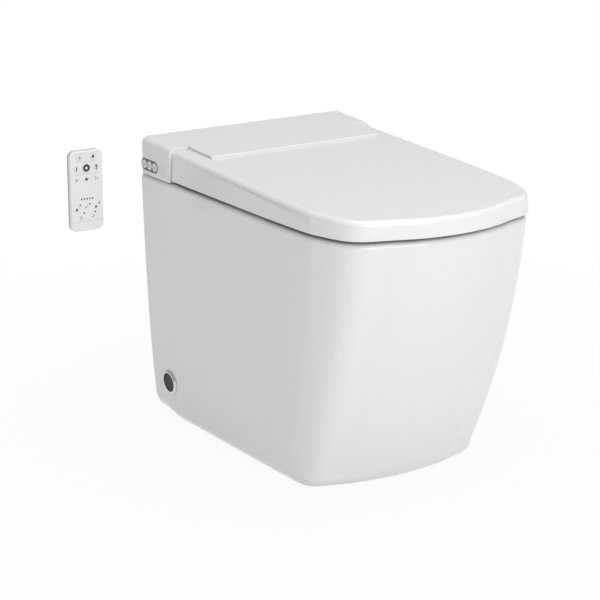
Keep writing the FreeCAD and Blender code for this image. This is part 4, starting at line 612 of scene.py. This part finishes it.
def squared(place, settings):
    """Where a point of the solids goes for square front corners and a small roll at the foot."""
    x, y, z = place
    fall = min(max(1.0 - z / RIM, 0.0), 1.0)
    half = HALF_AT_RIM - HALF_TAPER * (HALF_STRAIGHT * fall + HALF_CURVED * fall ** 3)
    reach = REACH_AT_RIM - REACH_TAPER * (REACH_STRAIGHT * fall + REACH_CURVED * fall ** 2)
    corner = CORNER_AT_RIM + (CORNER_AT_FLOOR - CORNER_AT_RIM) * fall
    bow = BOW_AT_RIM + (BOW_AT_FLOOR - BOW_AT_RIM) * fall
    ahead = max(-y - settings.start, 0.0)
    distance = math.hypot(x, ahead)
    if distance < 1e-6:
        return place
    angle = math.atan2(ahead, abs(x))
    old = solid_outline(angle, half, reach, corner, bow, settings.start)
    side_bow = settings.rim_side_bow + (settings.foot_side_bow - settings.rim_side_bow) * fall
    front_bow = settings.rim_front_bow + (settings.foot_front_bow - settings.rim_front_bow) * fall
    squareness = settings.rim_squareness + (settings.foot_squareness - settings.rim_squareness) * fall
    new = square_outline(angle, half, reach - settings.start, side_bow, front_bow, squareness)
    lean = SIDE_LEAN * math.cos(angle) ** 2 + FRONT_LEAN * math.sin(angle) ** 2
    unrolled = distance + roll_in(z, ROLL_OF_SOLID, lean)
    step = eased((unrolled / old - settings.inner) / (settings.outer - settings.inner))
    roll = ROLL_OF_SOLID + (settings.foot_roll - ROLL_OF_SOLID) * eased(-y / settings.foot_roll_run)
    shift = unrolled * new / old - roll_in(z, roll, lean) - distance
    scale = 1.0 + step * shift / distance
    moved = y if ahead == 0.0 else -settings.start - ahead * scale
    lift = min(max((z - LID_EDGE) / LID_DEPTH, 0.0), 1.0) * LID_FALL * (moved - y)
    return (x * scale, moved, z + lift)


def cut_across(planes):
    """Cuts the visible faces by planes, so that straight runs can follow a curve."""
    for place, normal in planes:
        bpy.ops.mesh.select_all(action="SELECT")
        bpy.ops.mesh.bisect(plane_co=place, plane_no=normal)


def cut_finer(piece, node, settings):
    """Cuts the copy across where its straight runs have to bend."""
    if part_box(node)[0][2] < ROLL_OF_SOLID:
        choose(piece, "FACE", lambda p: p.z > ROLL_OF_SOLID or abs(p.x) < UNCUT_UNDER)
        bpy.ops.mesh.hide(unselected=False)
        steps = [settings.foot_roll_run * k / 6 for k in range(1, 7)]
        cut_across([((0.0, -y, 0.0), (0.0, 1.0, 0.0)) for y in steps])
        bpy.ops.mesh.reveal(select=True)

    def is_still(p):
        behind = -p.y < settings.start - UNCUT_BEHIND
        return behind or math.hypot(p.x, -p.y - settings.start) < UNCUT_MIDDLE
    choose(piece, "FACE", is_still)
    bpy.ops.mesh.hide(unselected=False)
    ahead = [settings.start + y for y in COARSE_CUTS] + FINE_CUTS
    cut_across([((0.0, -y, 0.0), (0.0, 1.0, 0.0)) for y in ahead])
    cut_across([((side * x, 0.0, 0.0), (1.0, 0.0, 0.0)) for x in SIDE_CUTS for side in (1.0, -1.0)])
    bpy.ops.mesh.reveal(select=True)
    bpy.ops.mesh.select_all(action="SELECT")
    bpy.ops.object.mode_set(mode="OBJECT")


def with_square_front(node, name, body, settings):
    """Merged copy of a node, cut finer at the front and moved to the squarer plan form."""
    clear_selection()
    mesh = NODES[node].data.copy()
    piece = bpy.data.objects.new(name, mesh)
    mesh.name = name
    bpy.context.scene.collection.objects.link(piece)
    piece.select_set(True)
    bpy.context.view_layer.objects.active = piece
    bpy.ops.object.mode_set(mode="EDIT")
    bpy.ops.mesh.select_all(action="SELECT")
    bpy.ops.mesh.remove_doubles(threshold=MERGE)
    bpy.ops.object.mode_set(mode="OBJECT")
    cut_finer(piece, node, settings)
    for vertex in mesh.vertices:
        vertex.co = squared(vertex.co, settings)
    bpy.ops.object.mode_set(mode="EDIT")
    bpy.ops.mesh.quads_convert_to_tris(quad_method="BEAUTY", ngon_method="BEAUTY")
    bpy.ops.object.mode_set(mode="OBJECT")
    bpy.ops.object.shade_smooth_by_angle(angle=SHARP)
    weighted = piece.modifiers.new("even shading", "WEIGHTED_NORMAL")
    weighted.keep_sharp = True
    bpy.ops.object.modifier_apply(modifier=weighted.name)
    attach(piece, body)
    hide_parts(node)
    return piece


# ---------------------------------------------------------------- operators

class TOILET_OT_ceramic(bpy.types.Operator):
    """Glaze on the ceramic pan"""
    bl_idname = "toilet.ceramic"
    bl_label = "Ceramic pan"

    def execute(self, context):
        give(glaze(context.scene.toilet_finish), "ceramic_pan")
        return {"FINISHED"}


class TOILET_OT_shells(bpy.types.Operator):
    """Glossy white plastic on cover, seat and lid"""
    bl_idname = "toilet.shells"
    bl_label = "Cover, seat and lid"

    def execute(self, context):
        settings = context.scene.toilet_finish
        give(moulded("shell_plastic", settings.shell, settings.shell_roughness),
             "rear_cover", "lid_shell", "lid_liner", "seat_top", "seat_base")
        give(moulded("sensor_disc", darker(settings.shell, 0.94), 0.3), "sensor_window")
        give(rubber("buffer_rubber", (0.6, 0.6, 0.61)), "seat_buffers", "lid_buffers")
        give(brushed("heater_foil", (0.75, 0.74, 0.72), 0.35, (0.2, 1.0, 1.0)), "seat_heater")
        return {"FINISHED"}


class TOILET_OT_square_front(bpy.types.Operator):
    """Pan, seat and lid with the tight front corners and the small foot roll; runs after their finishes"""
    bl_idname = "toilet.square_front"
    bl_label = "Square front"

    def execute(self, context):
        settings = context.scene.toilet_form
        for node, name, body, slot in (
                ("ceramic_pan", "pan_glazed", "toilet", "glazed_white"),
                ("seat_base", "seat_underside", "seat", "seat_white"),
                ("seat_top", "seat_ring", "seat", "seat_white"),
                ("seat_heater", "seat_foil", "seat", "heater_foil"),
                ("seat_buffers", "seat_pads", "seat", "buffer_rubber"),
                ("lid_buffers", "lid_pads", "lid", "buffer_rubber"),
                ("lid_shell", "lid_cover", "lid", "lid_white"),
                ("lid_liner", "lid_inside", "lid", "lid_white")):
            with_square_front(node, name, body, settings)
        return {"FINISHED"}


class TOILET_OT_fixing(bpy.types.Operator):
    """Chrome rings, black caps, screws and brackets of the floor fixing"""
    bl_idname = "toilet.fixing"
    bl_label = "Floor fixing"

    def execute(self, context):
        settings = context.scene.toilet_finish
        give(plated(settings), "fixing_rings")
        give(textured("cap_black", settings.black, 0.5), "fixing_caps")
        give(brushed("bright_steel", settings.steel), "set_screws", "unit_bolts", "hinge_pins",
             "nozzle_motor")
        give(galvanised("zinc_coat", (0.5, 0.51, 0.53)), "floor_brackets", "power_module")
        give(rubber("seal_rubber", (0.045, 0.045, 0.047)), "flush_adapter", "deck_gasket")
        return {"FINISHED"}


class TOILET_OT_controls(bpy.types.Operator):
    """Side panel and its three buttons"""
    bl_idname = "toilet.controls"
    bl_label = "Side controls"

    def execute(self, context):
        settings = context.scene.toilet_finish
        give(moulded("panel_dark", settings.panel, 0.25), "button_panel")
        give(moulded("button_white", darker(settings.shell, 0.98), 0.3), "button_rear", "button_middle",
             "button_front")
        give(circuit_board("board_green"), "button_board", "control_board", "remote_board")
        return {"FINISHED"}


class TOILET_OT_works(bpy.types.Operator):
    """Tray, dampers, washing nozzle, dryer and water works"""
    bl_idname = "toilet.works"
    bl_label = "Works in the unit"

    def execute(self, context):
        settings = context.scene.toilet_finish
        give(textured("tray_plastic", (0.66, 0.66, 0.67)), "unit_base", "unit_nuts", "water_heater")
        give(textured("works_plastic", (0.035, 0.035, 0.038)), "hinge_dampers", "nozzle_guide",
             "dryer_housing", "dryer_fan", "power_gland", "wash_pump")
        give(brushed("nozzle_steel", darker(settings.steel, 1.15), 0.2, (1.0, 0.06, 1.0)), "nozzle_tube")
        give(moulded("nozzle_white", settings.shell, 0.25), "nozzle_tip")
        give(textured("gear_nylon", (0.78, 0.74, 0.62), 0.45), "drive_gear")
        give(brushed("cast_brass", (0.55, 0.4, 0.17), 0.35, (1.0, 1.0, 0.3)), "water_inlet_valve")
        give(rubber("hose_silicone", (0.5, 0.52, 0.54)), "hoses")
        return {"FINISHED"}


class TOILET_OT_handset(bpy.types.Operator):
    """Finish of the handset and its wall holder"""
    bl_idname = "toilet.handset"
    bl_label = "Handset"

    def execute(self, context):
        settings = context.scene.toilet_finish
        white = moulded("handset_white", settings.handset, 0.3)
        give(white, "remote_front_shell")
        give(moulded("key_white", darker(settings.handset, 0.97), 0.35), "remote_key_flush_full",
             "remote_key_flush_half", "remote_key_stop", "remote_key_left", "remote_key_right")
        give(moulded("handset_grey", settings.handset_back, 0.4), "remote_back_shell", "battery_hatch")
        give(textured("holder_white", (0.72, 0.72, 0.73)), "wall_holder")
        give(brushed("cell_sleeve", (0.3, 0.32, 0.36), 0.35), "remote_cells")
        return {"FINISHED"}


class TOILET_OT_button_centres(bpy.types.Operator):
    """Dark centre in the dish of each side button"""
    bl_idname = "toilet.button_centres"
    bl_label = "Button centres"

    def execute(self, context):
        settings = context.scene.toilet_marks
        dark = ink("button_ink", settings.dark)
        for name in ("rear", "middle", "front"):
            low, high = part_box("button_" + name)
            place = Vector((low[0] + settings.button_dish, (low[1] + high[1]) / 2,
                            (low[2] + high[2]) / 2))
            clear_selection()
            bpy.ops.mesh.primitive_circle_add(vertices=28, radius=settings.button_dot, fill_type="NGON",
                                              location=place, rotation=(0.0, -math.pi / 2, 0.0))
            obj = context.object
            bpy.ops.object.mode_set(mode="EDIT")
            bpy.ops.mesh.select_all(action="SELECT")
            bpy.ops.mesh.inset(thickness=settings.button_dot * 0.45)
            bpy.ops.transform.translate(value=(settings.button_hollow, 0.0, 0.0))
            joined("button_centre_" + name, [raised(obj, settings)], dark, name + "_button")
        return {"FINISHED"}


class TOILET_OT_key_marks(bpy.types.Operator):
    """Ring, arrows and drops on the handset's keys"""
    bl_idname = "toilet.key_marks"
    bl_label = "Key marks"

    def execute(self, context):
        settings = context.scene.toilet_marks
        dark, grey = ink("key_ink_dark", settings.dark), ink("key_ink_grey", settings.grey)

        def on_key(node):
            centre = middle_of(node)
            return (centre.x, front_of(node), centre.z)
        ring = ring_mark(settings, on_key("remote_key_stop"), settings.ring_outer, settings.ring_inner)
        joined("stop_ring", [ring], dark, "stop_key")
        spindle = arrow_mark(settings, on_key("remote_key_left"), settings.spindle_height,
                             settings.spindle_width, True)
        joined("left_arrow", [spindle], grey, "left_key")
        arrow = arrow_mark(settings, on_key("remote_key_right"), settings.arrow_height,
                           settings.arrow_width)
        joined("right_arrow", [arrow], dark, "right_key")
        x, y, z = on_key("remote_key_flush_full")
        drop = drop_mark(settings, (x, y, z - settings.drop_fall), settings.small_drop)
        joined("full_flush_drop", [drop], grey, "flush_full_key")
        x, y, z = on_key("remote_key_flush_half")
        drop = drop_mark(settings, (x, y, z - settings.drop_fall), settings.large_drop)
        joined("half_flush_drop", [drop], dark, "flush_half_key")
        return {"FINISHED"}


class TOILET_OT_face_marks(bpy.types.Operator):
    """Rules, dots and small pictograms on the handset's face, and a line of painted shade along its seam"""
    bl_idname = "toilet.face_marks"
    bl_label = "Handset marks"

    def execute(self, context):
        settings = context.scene.toilet_marks
        centre = middle_of("remote_front_shell")
        face = front_of("remote_front_shell")

        def at(x, z):
            """A place on the face, given in millimetres from its middle."""
            return (centre.x + x / 1000, face, centre.z + z / 1000)

        def line(x0, z0, x1, z1, width):
            return bar_mark(settings, at(x0, z0), at(x1, z1), width / 1000)

        def spot(x, z, radius=settings.dot):
            return dot_mark(settings, at(x, z), radius)
        half = settings.rule_half * 1000
        rules_and_seam_shade = [line(-half, z, half, z, settings.rule_width * 1000) for z in (47.0, 26.8)]
        low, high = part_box("remote_front_shell")
        side = (high[0] - low[0]) / 2 * 1000 - 1.3
        # The line along the seam is painted shade of the seam's gap, drawn in the pale ink of the rules.
        seam = -settings.seam_below * 1000
        rules_and_seam_shade.append(line(-side, seam, side, seam, settings.rule_width * 1000))
        rules_and_seam_shade += [line(x0, z0, x1, z1, 0.3) for x0, z0, x1, z1 in (
            (-17.3, -27.3, -13.4, -23.1), (-0.6, -25.4, 3.4, -22.8), (16.4, -26.3, 20.3, -22.9))]
        joined("handset_rules_and_seam_shade", rules_and_seam_shade, ink("rule_ink_and_seam_shade", settings.pale), "remote")

        bold = [spot(-9.6 + 4.8 * k, -12.9) for k in range(5)]
        bold += [spot(x, z) for x, z in (
            (-12.2, -21.9), (4.6, -21.8), (21.5, -21.7), (-5.7, -35.6), (14.0, -35.4))]
        bold += [drop_mark(settings, at(-18.4, -29.2), 0.0019), spot(15.2, -27.6, 0.0019)]
        bold.append(star_mark(settings, at(0.0, 18.3), settings.star, math.radians(22.0)))
        joined("handset_bold_marks", bold, ink("mark_ink_dark", settings.dark), "remote")

        light = []
        for x, z in ((-17.3, 18.3), (17.3, 18.3)):
            light += [line(x - 2.0, z - 2.2, x + 2.2, z + 0.5, 1.1), spot(x - 1.6, z + 1.9, 0.001)]
        light += [line(-12.8, -45.0, -9.2, -42.6, 1.1), spot(-11.6, -40.6, 0.001)]
        light.append(line(-3.9, -27.6, -0.4, -25.6, 0.9))
        light.append(arc_mark(settings, at(9.5, -41.6), 0.0018, 0.0008,
                              math.radians(-150.0), math.radians(250.0)))
        joined("handset_light_marks", light, ink("mark_ink_grey", settings.grey), "remote")
        return {"FINISHED"}


def area_lamp(name, place, target, size, power):
    """Square soft lamp at a place, turned to its target."""
    lamp = bpy.data.lights.new(name, "AREA")
    lamp.shape = "RECTANGLE"
    lamp.size, lamp.size_y = size, size
    lamp.energy = power
    holder = bpy.data.objects.new(name, lamp)
    bpy.context.scene.collection.objects.link(holder)
    holder.location = place
    holder.rotation_euler = (Vector(target) - Vector(place)).to_track_quat("-Z", "Y").to_euler()


def white_for_camera(material, settings):
    """Diffuse colour that the camera sees lifted towards white, more so far from the toilet."""
    tree = material.node_tree
    tree.nodes.clear()
    out = tree.nodes.new("ShaderNodeOutputMaterial")
    diffuse = tree.nodes.new("ShaderNodeBsdfDiffuse")
    diffuse.inputs["Color"].default_value = (*settings.floor, 1.0)
    light = tree.nodes.new("ShaderNodeEmission")
    light.inputs["Strength"].default_value = 1.0
    path = tree.nodes.new("ShaderNodeLightPath")
    seen = tree.nodes.new("ShaderNodeMath")
    seen.operation = "MAXIMUM"
    tree.links.new(path.outputs["Is Camera Ray"], seen.inputs[0])
    tree.links.new(path.outputs["Is Glossy Ray"], seen.inputs[1])
    place = tree.nodes.new("ShaderNodeTexCoord")
    distance = tree.nodes.new("ShaderNodeVectorMath")
    distance.operation = "DISTANCE"
    distance.inputs[1].default_value = settings.floor_middle
    tree.links.new(place.outputs["Object"], distance.inputs[0])
    glow = tree.nodes.new("ShaderNodeMapRange")
    glow.inputs["From Min"].default_value = settings.near_radius
    glow.inputs["From Max"].default_value = settings.far_radius
    glow.inputs["To Min"].default_value = settings.floor_near
    glow.inputs["To Max"].default_value = settings.floor_far
    tree.links.new(distance.outputs["Value"], glow.inputs["Value"])
    share_of_light = tree.nodes.new("ShaderNodeMath")
    share_of_light.operation = "MULTIPLY"
    tree.links.new(seen.outputs[0], share_of_light.inputs[0])
    tree.links.new(glow.outputs["Result"], share_of_light.inputs[1])
    mix = tree.nodes.new("ShaderNodeMixShader")
    tree.links.new(share_of_light.outputs[0], mix.inputs["Fac"])
    tree.links.new(diffuse.outputs[0], mix.inputs[1])
    tree.links.new(light.outputs[0], mix.inputs[2])
    tree.links.new(mix.outputs[0], out.inputs["Surface"])


def pale_floor(settings):
    clear_selection()
    bpy.ops.mesh.primitive_plane_add(size=settings.floor_size, location=(0.0, 0.0, 0.0))
    floor = bpy.context.object
    floor.name = "floor"
    material = bpy.data.materials.new("studio_floor")
    material.use_nodes = True
    white_for_camera(material, settings)
    floor.data.materials.append(material)


def light_surround(settings):
    """World that lights evenly from all round and that the camera sees as white."""
    world = bpy.data.worlds.new("surround")
    bpy.context.scene.world = world
    world.use_nodes = True
    tree = world.node_tree
    tree.nodes.clear()
    out = tree.nodes.new("ShaderNodeOutputWorld")
    glow = tree.nodes.new("ShaderNodeBackground")
    glow.inputs["Strength"].default_value = settings.surround
    glow.inputs["Color"].default_value = (1.0, 1.0, 1.0, 1.0)
    white = tree.nodes.new("ShaderNodeBackground")
    white.inputs["Strength"].default_value = 1.0
    white.inputs["Color"].default_value = (1.0, 1.0, 1.0, 1.0)
    path = tree.nodes.new("ShaderNodeLightPath")
    mix = tree.nodes.new("ShaderNodeMixShader")
    tree.links.new(path.outputs["Is Camera Ray"], mix.inputs["Fac"])
    tree.links.new(glow.outputs[0], mix.inputs[1])
    tree.links.new(white.outputs[0], mix.inputs[2])
    tree.links.new(mix.outputs[0], out.inputs["Surface"])


def photo_camera(settings):
    camera = bpy.data.objects.new("camera", bpy.data.cameras.new("camera"))
    bpy.context.scene.collection.objects.link(camera)
    camera.data.sensor_width = 36.0
    camera.data.lens = settings.lens
    camera.data.clip_end = 100.0
    camera.location = settings.place
    camera.rotation_euler = (math.pi / 2 - settings.elevation, 0.0, settings.azimuth)
    bpy.context.scene.camera = camera


class TOILET_OT_studio(bpy.types.Operator):
    """Floor, lamps, surround and camera"""
    bl_idname = "toilet.studio"
    bl_label = "Studio"

    def execute(self, context):
        settings = context.scene.toilet_studio
        pale_floor(settings)
        light_surround(settings)
        area_lamp("front_lamp", settings.key_place, settings.key_aim, settings.key_size, settings.key_power)
        area_lamp("top_lamp", settings.top_place, settings.top_aim, settings.top_size, settings.top_power)
        photo_camera(settings)
        context.scene.view_settings.view_transform = "Standard"
        return {"FINISHED"}


STEPS = (TOILET_OT_ceramic, TOILET_OT_shells, TOILET_OT_square_front, TOILET_OT_fixing,
         TOILET_OT_controls, TOILET_OT_button_centres, TOILET_OT_works, TOILET_OT_handset,
         TOILET_OT_key_marks, TOILET_OT_face_marks, TOILET_OT_studio)


class TOILET_PT_dressing(bpy.types.Panel):
    """Lists the steps that dress the toilet"""
    bl_idname = "TOILET_PT_dressing"
    bl_label = "Smart toilet"
    bl_space_type = "VIEW_3D"
    bl_region_type = "UI"
    bl_category = "Toilet"

    def draw(self, context):
        for step in STEPS:
            self.layout.operator(step.bl_idname)
        for group in (context.scene.toilet_finish, context.scene.toilet_form, context.scene.toilet_marks,
                      context.scene.toilet_studio):
            for name in group.__annotations__:
                self.layout.prop(group, name)


CLASSES = (FinishSettings, MarkSettings, FormSettings, StudioSettings) + STEPS + (TOILET_PT_dressing,)


def register():
    for cls in CLASSES:
        bpy.utils.register_class(cls)
    bpy.types.Scene.toilet_finish = bpy.props.PointerProperty(type=FinishSettings)
    bpy.types.Scene.toilet_marks = bpy.props.PointerProperty(type=MarkSettings)
    bpy.types.Scene.toilet_form = bpy.props.PointerProperty(type=FormSettings)
    bpy.types.Scene.toilet_studio = bpy.props.PointerProperty(type=StudioSettings)


def unregister():
    del bpy.types.Scene.toilet_studio
    del bpy.types.Scene.toilet_form
    del bpy.types.Scene.toilet_marks
    del bpy.types.Scene.toilet_finish
    for cls in reversed(CLASSES):
        bpy.utils.unregister_class(cls)


def main():
    register()
    bpy.ops.toilet.ceramic()
    bpy.ops.toilet.shells()
    bpy.ops.toilet.square_front()
    bpy.ops.toilet.fixing()
    bpy.ops.toilet.controls()
    bpy.ops.toilet.button_centres()
    bpy.ops.toilet.works()
    bpy.ops.toilet.handset()
    bpy.ops.toilet.key_marks()
    bpy.ops.toilet.face_marks()
    bpy.ops.toilet.studio()


if __name__ == "__main__":
    main()
